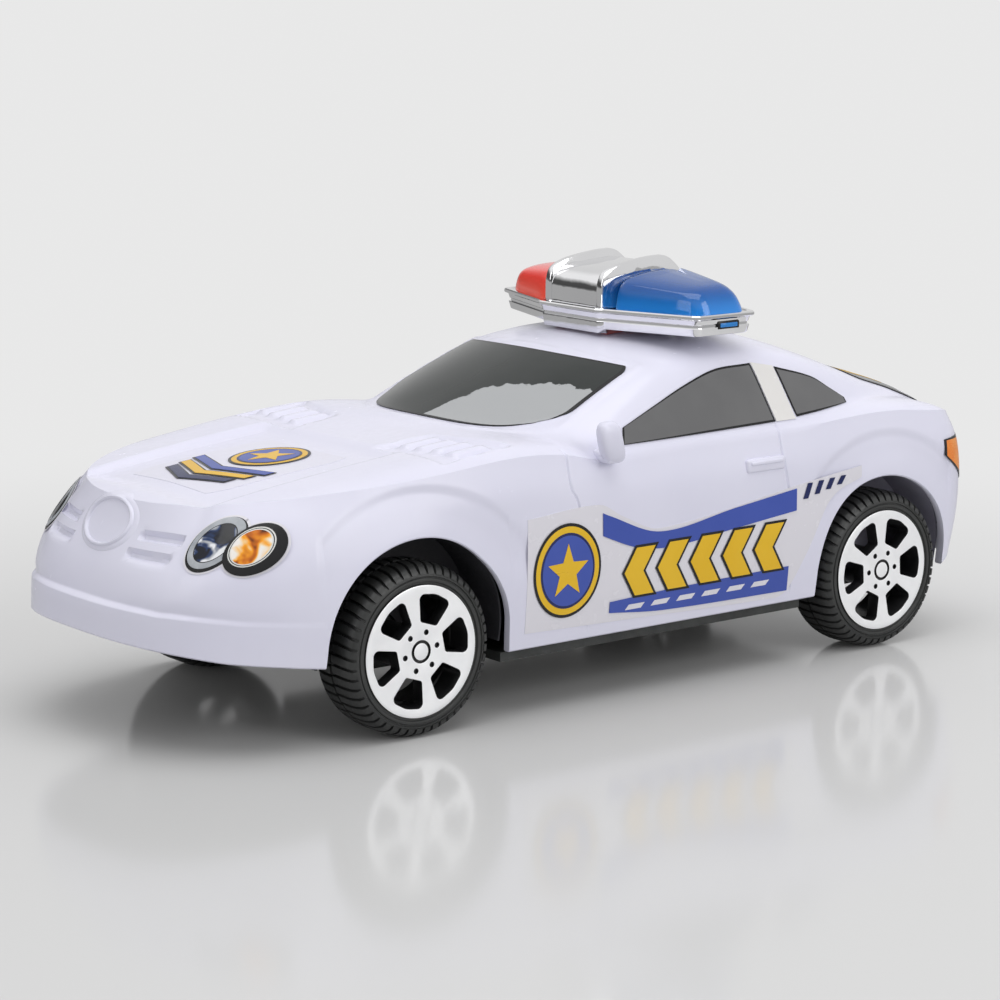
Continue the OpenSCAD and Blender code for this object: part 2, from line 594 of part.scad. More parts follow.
// Arch of the chrome cover: upright at the front, rising to a crest, rounded off behind
arch_line = [[1, 0], [1, 0.3], [0.99, 0.5], [0.95, 0.66], [0.87, 0.76], [0.76, 0.83], [0.6, 0.89],
    [0.22, 0.97], [-0.1, 1], [-0.24, 0.97], [-0.37, 0.86], [-0.52, 0.66],
    [-0.68, 0.4], [-0.85, 0.1], [-0.9, 0]];
function arch_outline(half, high) = [for (q = arch_line) [bar_x + half * q[0], bar_top + high * q[1]]];
module light_bar_cover() {
    mid = bar_mid / 2 - 0.2;
    side = bar_mid / 2;
    color("lightgray") difference() {
        union() {
            along_y(-cover_y, cover_y) polygon(arch_outline(mid, cover_h - cover_dip));
            for (s = [-1, 1]) along_y(s > 0 ? cover_y : -flange_y, s > 0 ? flange_y : -cover_y)
                polygon(arch_outline(side, cover_h));
        }
        along_y(-flange_y + bar_wall, flange_y - bar_wall)
            polygon(concat([[bar_x + side - bar_wall, bar_top - 1]],
                arch_outline(side - bar_wall, cover_h - cover_dip - bar_wall),
                [[bar_x - side + bar_wall, bar_top - 1]]));
    }
}
dome_n = 28;
// Each row of a dome: share of its height, of its depth ahead and behind, and of its length
dome_rows = [[0, 1, 1, 1], [0.25, 0.98, 0.94, 0.985], [0.5, 0.94, 0.85, 0.96], [0.66, 0.88, 0.77, 0.935],
    [0.78, 0.78, 0.69, 0.9], [0.88, 0.58, 0.6, 0.85], [0.95, 0.3, 0.5, 0.78], [0.99, -0.05, 0.4, 0.66]];
function dome_loop(s, k, g) =
    let (mid = (dome_y0 + dome_y1) / 2, half = (dome_y1 - dome_y0) / 2 - g)
    [for (i = [0:dome_n - 1]) let (t = 360 * i / dome_n, cx = sign(cos(t)) * pow(abs(cos(t)), 0.4),
        cy = sign(sin(t)) * pow(abs(sin(t)), 0.4), y = mid - half + half * (1 + cy) * k[3],
        high = mix(dome_h0, dome_h1, (y - dome_y0) / (dome_y1 - dome_y0)) - g,
        share = (k[1] - k[2] + cx * (k[1] + k[2])) / 2)
        [bar_x + share * (bar_depth(y) - 1 - g), s * y, bar_top + high * k[0]]];
module dome(s) {
    n = dome_n;
    rows = concat([for (i = [len(dome_rows) - 1:-1:0]) dome_loop(s, dome_rows[i], bar_wall)],
        [for (k = dome_rows) dome_loop(s, k, 0)]);
    flat = [for (r = rows) each r];
    last = len(rows) - 1;
    faces = concat([[for (i = [0:n - 1]) i]], [[for (i = [n - 1:-1:0]) last * n + i]],
        [for (r = [0:last - 1]) for (i = [0:n - 1]) let (a = r * n + i, b = r * n + (i + 1) % n)
            each [[a, a + n, b], [b, a + n, b + n]]]);
    polyhedron(flat, s > 0 ? faces : [for (f = faces) [for (i = [len(f) - 1:-1:0]) f[i]]]);
}
module red_dome() { color("red") dome(-1); }
module blue_dome() { color("blue") dome(1); }
module light_bar_foot() {
    nx = 6;
    xs = [for (i = [0:nx]) bar_x + bar_mid * mix(-0.32, 0.42, i / nx)];
    ys = [for (j = [-2:2]) j * (bar_mid_y - 2) / 2];
    low = [for (x = xs) for (y = ys) [x, y, top_z(x, y) + sticker_gap]];
    high = [for (x = xs) for (y = ys) [x, y, bar_z]];
    color("crimson") grid_solid(low, high, nx, len(ys) - 1);
}
// Closed solid between two grids of points
module grid_solid(low, high, nu, nv, flip = false) {
    n = len(low);
    m = nv + 1;
    edge = concat([for (i = [0:nu - 1]) i * m], [for (j = [0:nv - 1]) nu * m + j],
        [for (i = [nu:-1:1]) i * m + nv], [for (j = [nv:-1:1]) j]);
    cells = [for (i = [0:nu - 1]) for (j = [0:nv - 1]) let (a = i * m + j)
        each [[a, a + m + 1, a + m], [a, a + 1, a + m + 1]]];
    faces = concat([for (f = cells) [n + f[0], n + f[1], n + f[2]]], [for (f = cells) [f[0], f[2], f[1]]],
        [for (k = [0:len(edge) - 1]) let (a = edge[k], b = edge[(k + 1) % len(edge)])
            each [[a, n + b, b], [a, n + a, n + b]]]);
    polyhedron(concat(low, high), flip ? [for (f = faces) [f[0], f[2], f[1]]] : faces);
}

module screw(x, y, z, long) {
    translate([x, y, z - head_h]) cylinder(h = head_h, d = screw_head, $fn = 32);
    translate([x, y, z]) cylinder(h = long, d = screw_core, $fn = 32);
}
module shell_screws() {
    color("silver") for (i = [0, 1]) for (s = [-1, 1])
        screw(post_xs[i], s * post_y, pan_tops[i] - plate_t, plate_t + screw_bite);
}
module motor_screws() {
    color("silver") for (y = ear_ys) translate([fly_at[0], y, plate_top + ear_h]) mirror([0, 0, 1])
        screw(0, 0, 0, ear_h + plate_t - 0.4);
}
module bar_screws() {
    under = top_z(bar_x, bar_screw_y) - wall - 0.4;
    color("silver") for (s = [-1, 1]) screw(bar_x, s * bar_screw_y, under, bar_z - under + bar_base_h - 1.6);
}

// Stickers: a sheet follows the skin point f(u, v), raised along its own normal
function unit(v) = v / norm(v);
function lift(f, u, v, g, s) =
    let (d = 0.01)
    f(u, v) + s * g * unit(cross(f(u + d, v) - f(u - d, v), f(u, v + d) - f(u, v - d)));
module sheet(f, nu, nv, s) {
    low = [for (i = [0:nu]) for (j = [0:nv]) lift(f, i / nu, j / nv, sticker_gap, s)];
    high = [for (i = [0:nu]) for (j = [0:nv]) lift(f, i / nu, j / nv, sticker_gap + sticker_t, s)];
    grid_solid(low, high, nu, nv, s < 0);
}
// Width of the skin at a height on the cabin side, by halving
function cabin_y(x, z, a = 20, b = undef, n = 18) =
    let (hi = b == undef ? half_w - 2.3 : b, m = (a + hi) / 2)
    n == 0 ? m : top_z(x, m) > z ? cabin_y(x, z, m, hi, n - 1) : cabin_y(x, z, a, m, n - 1);
function wall_t(x, z) = (z - rim_z(x)) / (top_z(x, side_y(x, 1, 0)) - rim_z(x));
function wall_point(x, z) = [x, side_y(x, wall_t(x, z), 0), z];
// Skin point straight ahead of a place across the nose, on the wall or on the cap above it
function cap_x(y, z, a, b, n = 18) =
    let (m = (a + b) / 2)
    n == 0 ? m : top_z(m, y) > z ? cap_x(y, z, m, b, n - 1) : cap_x(y, z, a, m, n - 1);
function nose_point(y, z) =
    let (x1 = front_x(y, 1, 0), z0 = rim_z(front_x(y, 0, 0)), t = (z - z0) / (top_z(x1, y) - z0))
    [t < 1 ? front_x(y, t, 0) : cap_x(y, z, x_front, x1), y, z];
function on_top(x, y) = [x, y, top_z(x, y)];
function flip_y(p, s) = [p[0], s * p[1], p[2]];

module windscreen_sticker() {
    f = function (u, v) let (q = mix(-1, 1, u), y = q * (half_w - mix(13.5, 16.5, v)),
        x = mix(screen_x - 4.2 - 8 * pow(q, 6), screen_top_x + 1, v))
        on_top(x - screen_wrap * y * y, y);
    color("dimgray") sheet(f, 18, 8, 1);
}
module rear_window_sticker() {
    f = function (u, v) on_top(mix(x_rear - 5, x_rear - 26, v), mix(-1, 1, u) * (half_w - mix(18, 16, v)));
    color("dimgray") sheet(f, 12, 6, 1);
}
module bonnet_sticker() {
    f = function (u, v) on_top(mix(x_front - 3, x_nose - 23, v), mix(-1, 1, u) * (half_w - 28));
    color("gainsboro") sheet(f, 10, 8, -1);
}
module door_window_sticker(s) {
    x0 = screen_x - 26;
    x1 = x_rear + 31;
    k = (x0 - x1) / 43.5; // the upper edge follows the length of the window
    top = [[x1 + 1.4 * k, 13.4], [x1 + 12 * k, 13.2], [x1 + 22 * k, 10.6], [x1 + 33 * k, 7], [x0 - 1, 4]];
    f = function (u, v) let (x = mix(mix(x0, x1, u), mix(x0, x1 + 1.4, u), v),
        z = belt_z + mix(mix(0.6, 1.3, u), curve(x, top), v)) flip_y([x, cabin_y(x, z), z], s);
    color("gray") sheet(f, 12, 6, s);
}
module quarter_window_sticker(s) {
    x0 = x_rear + 26;
    x1 = x_rear + 9.5;
    top = [[x1, 5.6], [x1 + 3, 7.4], [x1 + 8, 9.6], [x0, 12.2]];
    f = function (u, v) let (x = mix(mix(x0, x1, u), mix(x0 + 1, x1, u), v),
        z = belt_z + mix(mix(2, 4.8, u), curve(x, top), v)) flip_y([x, cabin_y(x, z), z], s);
    color("gray") sheet(f, 8, 5, s);
}
module livery_sticker(s) {
    x0 = x_front - 27;
    x1 = x_rear + 11;
    high = [[x1, 27.6], [x1 + 15, 27], [x0 - 20, 25.6], [x0, 27.6]];
    low = [[x1, 25], [x1 + 9, 21.6], [x1 + 17, 5], [x1 + 30, 3.4], [x0, 2.6]];
    f = function (u, v) let (x = mix(x0, x1, u))
        flip_y(wall_point(x, sill_z + mix(curve(x, low), curve(x, high), v)), s);
    color("gainsboro") sheet(f, 16, 6, s);
}
module headlight_sticker(s) {
    f = function (u, v) let (y = half_w + mix(-19.6, -6, u) + mix(-1.4, 0.6, v), bow = 4 * u * (1 - u),
        z = nose_z + mix(mix(-6, -6.5, u) - 3.2 * bow, mix(-4, -3.5, u) + 3 * bow, v))
        flip_y(nose_point(y, z), s);
    color("goldenrod") sheet(f, 10, 6, s);
}
module tail_lamp_sticker(s) {
    f = function (u, v) let (x = mix(x_rear - 19, x_tail + 6, u),
        z = tail_z + mix(mix(-8, -15, u), mix(-4, -3.5, u), v))
        flip_y(wall_point(x, z), s);
    color("orange") sheet(f, 8, 5, s);
}

body_shell();
chassis();
for (e = ENDS) {
    axle(e);
    for (s = SIDES) {
        rim(e, s);
        tyre(e, s);
    }
}
motor_case_left();
motor_case_right();
motor_plate();
axle_gear();
idler_gear();
idler_pin();
flywheel_shaft();
flywheel();
light_bar_base();
light_bar_cover();
light_bar_foot();
red_dome();
blue_dome();
shell_screws();
motor_screws();
bar_screws();
windscreen_sticker();
bonnet_sticker();
rear_window_sticker();
for (s = SIDES) {
    door_window_sticker(hand(s));
    quarter_window_sticker(hand(s));
    livery_sticker(hand(s));
    headlight_sticker(hand(s));
    tail_lamp_sticker(hand(s));
}
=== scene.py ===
import math

import bpy
import numpy as np
from mathutils import Matrix, Vector


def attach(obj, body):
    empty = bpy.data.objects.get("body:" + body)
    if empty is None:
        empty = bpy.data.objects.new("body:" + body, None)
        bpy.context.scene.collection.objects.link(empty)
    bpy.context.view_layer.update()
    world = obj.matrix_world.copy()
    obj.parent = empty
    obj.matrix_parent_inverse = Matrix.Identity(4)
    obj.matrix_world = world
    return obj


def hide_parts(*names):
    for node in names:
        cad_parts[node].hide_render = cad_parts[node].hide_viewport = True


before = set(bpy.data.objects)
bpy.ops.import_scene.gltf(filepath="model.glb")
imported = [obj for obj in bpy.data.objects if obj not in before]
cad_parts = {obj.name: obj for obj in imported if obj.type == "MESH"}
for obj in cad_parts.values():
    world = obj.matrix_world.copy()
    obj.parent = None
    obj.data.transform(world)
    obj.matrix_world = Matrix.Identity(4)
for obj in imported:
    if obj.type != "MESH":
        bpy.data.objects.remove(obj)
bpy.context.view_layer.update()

scene = bpy.context.scene
mm = 0.001
sideNames = {1: "Left", -1: "Right"}


# small helpers
def deselectAll():
    if bpy.context.mode != "OBJECT":
        bpy.ops.object.mode_set(mode="OBJECT")
    bpy.ops.object.select_all(action="DESELECT")


def pick(obj):
    deselectAll()
    obj.select_set(True)
    bpy.context.view_layer.objects.active = obj


def editMode(obj, mode="FACE"):
    pick(obj)
    bpy.ops.object.mode_set(mode="EDIT")
    bpy.ops.mesh.select_mode(type=mode)


def objectMode():
    bpy.ops.object.mode_set(mode="OBJECT")


def settle(obj):  # place, turn and size go into the mesh
    pick(obj)
    bpy.ops.object.transform_apply(location=True, rotation=True, scale=True)
    return obj


def addModifier(obj, kind, **values):
    pick(obj)
    mod = obj.modifiers.new(kind.lower(), kind)
    for key, value in values.items():
        setattr(mod, key, value)
    bpy.ops.object.modifier_apply(modifier=mod.name)


def faceOut(obj):
    editMode(obj, "VERT")
    bpy.ops.mesh.select_all(action="SELECT")
    bpy.ops.mesh.normals_make_consistent(inside=False)
    objectMode()


def mergeDoubles(obj, distance, outward=True):
    editMode(obj, "VERT")
    bpy.ops.mesh.select_all(action="SELECT")
    bpy.ops.mesh.remove_doubles(threshold=distance)
    objectMode()
    if outward:
        faceOut(obj)


def joinAll(objs, name):
    deselectAll()
    for o in objs:
        o.select_set(True)
    bpy.context.view_layer.objects.active = objs[0]
    if len(objs) > 1:
        bpy.ops.object.join()
    objs[0].name = name
    objs[0].data.name = name
    return objs[0]


def smooth(obj, angle=40):
    pick(obj)
    bpy.ops.object.shade_smooth_by_angle(angle=math.radians(angle))


def copyPiece(obj, name):
    twin = obj.copy()
    twin.data = obj.data.copy()
    twin.name = name
    twin.data.name = name
    scene.collection.objects.link(twin)
    return twin


def lattice(a, b):  # two tables, a down the rows and b along them
    return np.meshgrid(a, b, indexing="ij")


def unitRows(v):
    return v / np.maximum(np.linalg.norm(v, axis=-1, keepdims=True), 1e-12)


def gridFrom(name, table):  # a grid primitive laid on a table of points in mm, rows by columns
    rows, cols = table.shape[0] - 1, table.shape[1] - 1
    deselectAll()
    bpy.ops.mesh.primitive_grid_add(x_subdivisions=cols, y_subdivisions=rows, size=2, location=(0, 0, 0))
    obj = bpy.context.object
    obj.name = name
    n = len(obj.data.vertices)
    flat = np.empty(n * 3)
    obj.data.vertices.foreach_get("co", flat)
    uv = (flat.reshape(-1, 3)[:, :2] + 1) / 2
    i = np.rint(uv[:, 0] * cols).astype(int)
    j = np.rint(uv[:, 1] * rows).astype(int)
    obj.data.vertices.foreach_set("co", (table[j, i] * mm).ravel())
    obj.data.update()
    return obj


def finishPiece(obj, material, body, slotName, *nodes):
    obj.data.materials.clear()
    obj.data.materials.append(material)
    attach(obj, body)
    if nodes:
        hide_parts(*nodes)
    return obj


def addNode(tree, kind, sockets=(), **values):
    node = tree.nodes.new("ShaderNode" + kind)
    for key, value in dict(sockets).items():
        node.inputs[key].default_value = value
    for key, value in values.items():
        setattr(node, key, value)
    return node


def stepNode(tree, low, high):  # a soft step between two values
    return addNode(tree, "MapRange", {1: low, 2: high}, interpolation_type="SMOOTHSTEP")


def wire(tree, *pairs):
    for start, end in pairs:
        tree.links.new(start, end)


def mathNode(tree, operation, a, b):
    node = addNode(tree, "Math", operation=operation)
    for socket, value in zip(node.inputs, (a, b)):
        if isinstance(value, (int, float)):
            socket.default_value = value
        else:
            tree.links.new(value, socket)
    return node.outputs[0]


def rampNode(tree, stops):
    node = addNode(tree, "ValToRGB")
    while len(node.color_ramp.elements) < len(stops):
        node.color_ramp.elements.new(0.5)
    for element, (at, tone) in zip(node.color_ramp.elements, stops):
        element.position = at
        element.color = (*tone, 1) if np.ndim(tone) else grey(tone)
    return node


def grey(tone):
    return (tone, tone, tone, 1)


# camera, light and floor
shot = {"place": (0.40740, 0.52240, 0.16140), "aim": (0.00633, 0.0075, 0.03808), "lens": 109.26, "roll": 0.0726,
        "sensor": 36, "near": 0.01}


def makeCamera():
    data = bpy.data.cameras.new("photoCamera")
    data.sensor_width = shot["sensor"]
    data.lens = shot["lens"]
    data.clip_start = shot["near"]
    cam = bpy.data.objects.new("photoCamera", data)
    scene.collection.objects.link(cam)
    look = (Vector(shot["aim"]) - Vector(shot["place"])).to_track_quat("-Z", "Y").to_matrix()
    turn = Matrix.Rotation(math.radians(shot["roll"]), 3, "Z")
    cam.matrix_world = Matrix.Translation(shot["place"]) @ (look @ turn).to_4x4()
    scene.camera = cam


studio = {"floor": 6.0, "grey": 0.62, "gloss": 0.13, "level": 0.15, "white": 0.81, "fade": (0.14, 0.42),
          "near": (0.074, 0.095, 0), "sky": 0.40, "murk": 0.40, "room": [(0.44, 0.55), (0.80, 1.3)],
          "mirrored": [(0.49, 0.60), (0.53, 0.16), (0.62, 0.20), (0.76, 2.3)], "behind": (-1, 0, 0),
          "spread": (0.10, 0.50), "backdrop": 1.75, "aim": (0, 0, 0.04),
          "lamps": [((0.10, 0.10, 1.00), 0.90, 5.2, True), ((0.95, 0.10, 0.40), 0.45, 1.1, True),
                    ((-0.30, 0.95, 0.45), 0.60, 3.5, True), ((-0.75, -0.60, 0.60), 0.60, 2.0, False)]}


def makeFloor():
    deselectAll()
    bpy.ops.mesh.primitive_plane_add(size=2 * studio["floor"], location=(0, 0, 0))
    floor = bpy.context.object
    floor.name = "studioFloor"
    mat = bpy.data.materials.new("paleFloor")
    mat.use_nodes = True
    tree = mat.node_tree
    shader = tree.nodes["Principled BSDF"]
    shader.inputs["Roughness"].default_value = studio["gloss"]
    shader.inputs["Specular IOR Level"].default_value = studio["level"]
    shader.inputs["Base Color"].default_value = grey(studio["grey"])
    coord = addNode(tree, "TexCoord")
    reach = addNode(tree, "VectorMath", {1: studio["near"]}, operation="DISTANCE")
    fade = stepNode(tree, *studio["fade"])
    path = addNode(tree, "LightPath")
    wire(tree, (coord.outputs["Object"], reach.inputs[0]), (reach.outputs["Value"], fade.inputs[0]))
    last = shader
    for ray, tone in (("Is Camera Ray", "white"), ("Is Glossy Ray", "murk")):  # the far floor as seen and as mirrored
        plain = addNode(tree, "Emission", {"Color": grey(studio[tone])})
        blend = addNode(tree, "MixShader")
        share = mathNode(tree, "MULTIPLY", fade.outputs[0], path.outputs[ray])
        wire(tree, (share, blend.inputs[0]), (last.outputs[0], blend.inputs[1]), (plain.outputs[0], blend.inputs[2]))
        last = blend
    wire(tree, (last.outputs[0], tree.nodes["Material Output"].inputs["Surface"]))
    floor.data.materials.append(mat)


def makeRoom():
    world = bpy.data.worlds.new("paleRoom")
    world.use_nodes = True
    scene.world = world
    tree = world.node_tree
    sky = tree.nodes["Background"]
    sky.inputs["Strength"].default_value = studio["sky"]
    room = addNode(tree, "TexCoord").outputs["Generated"]
    path = addNode(tree, "LightPath")
    split = addNode(tree, "SeparateXYZ")
    lift = addNode(tree, "MapRange", {1: -1})
    ramp = rampNode(tree, studio["room"])  # dim low down, bright overhead
    dim = rampNode(tree, studio["mirrored"])  # mirrored surroundings, dark near the horizon
    toward = addNode(tree, "VectorMath", {1: studio["behind"]}, operation="DOT_PRODUCT")
    spread = stepNode(tree, *studio["spread"])
    pale = addNode(tree, "MixRGB", {2: grey(studio["backdrop"])})  # and pale where the backdrop stands
    either = addNode(tree, "MixRGB")
    seen = addNode(tree, "Background", {"Color": grey(studio["white"])})
    blend = addNode(tree, "MixShader")
    wire(tree, (room, split.inputs[0]), (split.outputs[2], lift.inputs[0]), (lift.outputs[0], ramp.inputs[0]),
         (lift.outputs[0], dim.inputs[0]), (room, toward.inputs[0]), (toward.outputs["Value"], spread.inputs[0]),
         (spread.outputs[0], pale.inputs[0]), (dim.outputs[0], pale.inputs[1]),
         (path.outputs["Is Glossy Ray"], either.inputs[0]), (ramp.outputs[0], either.inputs[1]),
         (pale.outputs[0], either.inputs[2]), (either.outputs[0], sky.inputs["Color"]),
         (path.outputs["Is Camera Ray"], blend.inputs[0]), (sky.outputs[0], blend.inputs[1]),
         (seen.outputs[0], blend.inputs[2]), (blend.outputs[0], tree.nodes["World Output"].inputs["Surface"]))


def makeLamps():
    for number, (place, size, power, shine) in enumerate(studio["lamps"]):
        data = bpy.data.lights.new(f"softBox{number}", "AREA")
        data.size = size
        data.energy = power
        lamp = bpy.data.objects.new(f"softBox{number}", data)
        lamp.location = place
        lamp.visible_glossy = shine
        lamp.rotation_euler = (Vector(studio["aim"]) - Vector(place)).to_track_quat("-Z", "Y").to_euler()
        scene.collection.objects.link(lamp)


makeCamera()
makeFloor()
makeRoom()
makeLamps()
print("camera and studio made")


# the car's sizes in mm, the same as the solids'
car = {"wheelbase": 130, "frontOverhang": 55, "rearOverhang": 34, "width": 88, "roof": 73, "bonnet": 57,
       "nose": 47.2, "belt": 53.2, "haunch": 56.2, "tail": 48.2, "sill": 14.2, "bumper": 22.6, "wall": 1.8,
       "ledge": 1.2, "archGap": 3.7, "screenSetback": 29.5, "screenRun": 32.5, "tyre": 35.9, "sideLean": 1.9,
       "roofCrown": 0.0028, "screenWrap": 0.0085, "edgeDrop": 2.4, "tailPower": 5,
       "ledgeAt": 0.25, "ledgeRun": 0.04, "panelDip": 1.4, "panelEdge": 23.6, "panelSlope": 2.6,
       "panelEnds": ((10.5, 5), (21, 7)), "edgeIn": 2, "edgePower": 14, "ridgeShare": (0.05, 0.95),
       "cabinSoft": 4, "joinSoft": 1.5}
xNose = (car["frontOverhang"] + car["wheelbase"] + car["rearOverhang"]) / 2
xTail = -xNose
xFront = xNose - car["frontOverhang"]
xRear = xFront - car["wheelbase"]
halfW = car["width"] / 2
axleZ = car["tyre"] / 2
archR = axleZ + car["archGap"]
archLift = {"front": 1.6, "rear": 0.0}
screenX = xFront - car["screenSetback"]
screenTopX = screenX - car["screenRun"]
roofZ, bonnetZ, noseZ, beltZ = car["roof"], car["bonnet"], car["nose"], car["belt"]
haunchZ, tailZ, sillZ, bumperZ = car["haunch"], car["tail"], car["sill"], car["bumper"]


def mix(a, b, t):
    return a + (b - a) * t


def ease(t):
    c = np.clip(t, 0, 1)
    return c * c * (3 - 2 * c)


def softMax(a, b, k):
    return (a + b + np.sqrt((a - b) ** 2 + k * k)) / 2


def softMin(a, b, k):
    return (a + b - np.sqrt((a - b) ** 2 + k * k)) / 2


def curve(x, points):  # smooth curve through given points, level beyond both ends
    px, pz = np.array(points, float).T
    each = np.arange(len(px))
    after, before = np.minimum(each + 1, len(px) - 1), np.maximum(each - 1, 0)
    m = (pz[after] - pz[before]) / (px[after] - px[before])
    i = np.clip(np.searchsorted(px, x, side="right") - 1, 0, len(px) - 2)
    h = px[i + 1] - px[i]
    t = np.clip((x - px[i]) / h, 0, 1)
    return (pz[i] * (2 * t ** 3 - 3 * t ** 2 + 1) + m[i] * h * (t ** 3 - 2 * t ** 2 + t)
            + pz[i + 1] * (3 * t ** 2 - 2 * t ** 3) + m[i + 1] * h * (t ** 3 - t ** 2))


lines = {
    "centre": [(xTail + 3, tailZ), (xTail + 10, tailZ + 4), (xRear, beltZ + 1), (screenX - 56, beltZ),
               (screenX - 20, beltZ + 2.5), (screenX, bonnetZ), (xFront - 22, bonnetZ - 0.9),
               (xFront - 6, bonnetZ - 2.4), (xFront + 12, bonnetZ - 3.6), (xNose - 26, bonnetZ - 5.3),
               (xNose - 15, noseZ + 2), (xNose - 9.5, noseZ)],
    "ridge": [(xTail + 3, tailZ), (xTail + 10, tailZ + 4.4), (xRear - 16, haunchZ - 1.4), (xRear - 4, haunchZ),
              (xRear + 8, haunchZ - 0.2), (xRear + 28, beltZ + 1.4), (screenX - 22, beltZ),
              (screenX - 9, beltZ + 2.8), (xFront - 26, beltZ + 3.6), (xFront - 8, beltZ + 2.2),
              (xFront + 8, beltZ), (xFront + 22, beltZ - 2.2), (xNose - 19, noseZ + 1.6), (xNose - 9.5, noseZ)],
    "cabin": [(xTail, roofZ - 24), (xRear - 25, roofZ - 17.4), (xRear - 17, roofZ - 14.2), (xRear - 8, roofZ - 11.6),
              (xRear, roofZ - 8.5), (xRear + 8.5, roofZ - 5.4), (xRear + 18, roofZ - 2.5), (xRear + 30, roofZ - 0.6),
              (screenTopX - 25, roofZ), (screenTopX - 13, roofZ - 0.6), (screenTopX, roofZ - 2.9), (screenX, bonnetZ),
              (screenX + 20, bonnetZ - 11)],
    "cabinHalf": [(xTail, halfW - 18), (xRear - 15, halfW - 12), (xRear + 4, halfW - 6), (xRear + 20, halfW - 3.4),
                  (screenX - 26, halfW - 3), (screenX - 10, halfW - 5.5), (screenX, halfW - 9)],
    "noseIn": [(0, 0), (0.25, 0.6), (0.5, 3), (0.8, 7.9), (1, 10.6)],
    "sideIn": [(0, 1.4), (0.3, 0.3), (0.55, 0), (0.8, 0.4), (1, 2.2)],
    "tailIn": [(0, 2), (0.3, 0.4), (0.55, 0.1), (0.85, 1.2), (1, 3.5)],
    "nosePower": [(0, 2.8), (0.25, 2.8), (0.36, 3.1), (0.6, 3.1), (1, 2.5)],
    "noseStart": [(0, 3), (0.25, 1), (0.36, -5), (0.7, -10), (1, -16)],
}


def panelDip(x, y):  # the bonnet panel lies between the two wing ridges
    (back, backRun), (ahead, aheadRun) = car["panelEnds"]
    along = ease((x - xFront + back) / backRun) * (1 - ease((x - xNose + ahead) / aheadRun))
    return car["panelDip"] * along * ease((car["panelEdge"] - np.abs(y)) / car["panelSlope"] + 0.5)


def baseZ(x, y):
    e = np.minimum(1, np.abs(y) / (halfW - car["edgeIn"]))
    z = mix(curve(x, lines["centre"]), curve(x, lines["ridge"]), ease(mix(*car["ridgeShare"], e)))
    return z - car["edgeDrop"] * e ** car["edgePower"] - panelDip(x, y)


def cabinZ(x, y):
    wrap = car["screenWrap"] * ease((x - xRear) / (screenX - xRear))
    top = curve(x + wrap * y * y, lines["cabin"]) - car["roofCrown"] * y * y
    side = beltZ + (curve(x, lines["cabinHalf"]) - np.abs(y)) * car["sideLean"]
    return softMin(top, side, car["cabinSoft"])


def topZ(x, y):
    return softMax(baseZ(x, y), cabinZ(x, y), car["joinSoft"])


def noseTip(t, g):
    return xNose - g - curve(t, lines["noseIn"]) - car["ledge"] * ease((t - car["ledgeAt"]) / car["ledgeRun"])


def tailTip(t, g):
    return xTail + g + curve(t, lines["tailIn"])


def wide(t, g):
    return halfW - g - curve(t, lines["sideIn"])


def bendX(t, g):
    return xFront + curve(t, lines["noseStart"]) - g


def sideY(x, t, g):
    p, q = curve(t, lines["nosePower"]), car["tailPower"]
    f = np.maximum(0, x - bendX(t, g)) / (noseTip(t, g) - bendX(t, g))
    r = np.maximum(0, xRear - x) / (xRear - tailTip(t, g))
    return wide(t, g) * np.maximum(0, 1 - f ** p) ** (1 / p) * np.maximum(0, 1 - r ** q) ** (1 / q)


def frontX(y, t, g):
    p = curve(t, lines["nosePower"])
    return mix(bendX(t, g), noseTip(t, g), np.maximum(0, 1 - (np.abs(y) / wide(t, g)) ** p) ** (1 / p))


def rearX(y, t, g):
    q = car["tailPower"]
    return mix(xRear, tailTip(t, g), np.maximum(0, 1 - (np.abs(y) / wide(t, g)) ** q) ** (1 / q))


def cornerFront(t, g):
    k = 0.5 ** (1 / curve(t, lines["nosePower"]))
    return mix(bendX(t, g), noseTip(t, g), k), wide(t, g) * k


def cornerRear(t, g):
    k = 0.5 ** (1 / car["tailPower"])
    return mix(xRear, tailTip(t, g), k), wide(t, g) * k


def rimZ(x):
    return np.interp(x, [xTail, xRear - archR, xRear + archR, xFront - archR, xFront + archR, xNose - 14, xNose],
                     [sillZ + 5.5, sillZ + 1.8, sillZ, sillZ, bumperZ - 5.5, bumperZ - 2.9, bumperZ])


def edgeZ(x):
    z = rimZ(x)
    for xa, lift in ((xFront, archLift["front"]), (xRear, archLift["rear"])):
        d = archR ** 2 - (x - xa) ** 2
        z = np.maximum(z, np.where(d < -1e-9, 0, axleZ + lift + np.sqrt(np.maximum(d, 0))))
    return z


def wallT(x, z):
    return (z - rimZ(x)) / (topZ(x, sideY(x, 1.0, 0)) - rimZ(x))


def wallPoint(x, z, g=0.0):
    return np.stack([x, sideY(x, wallT(x, z), g), z], -1)


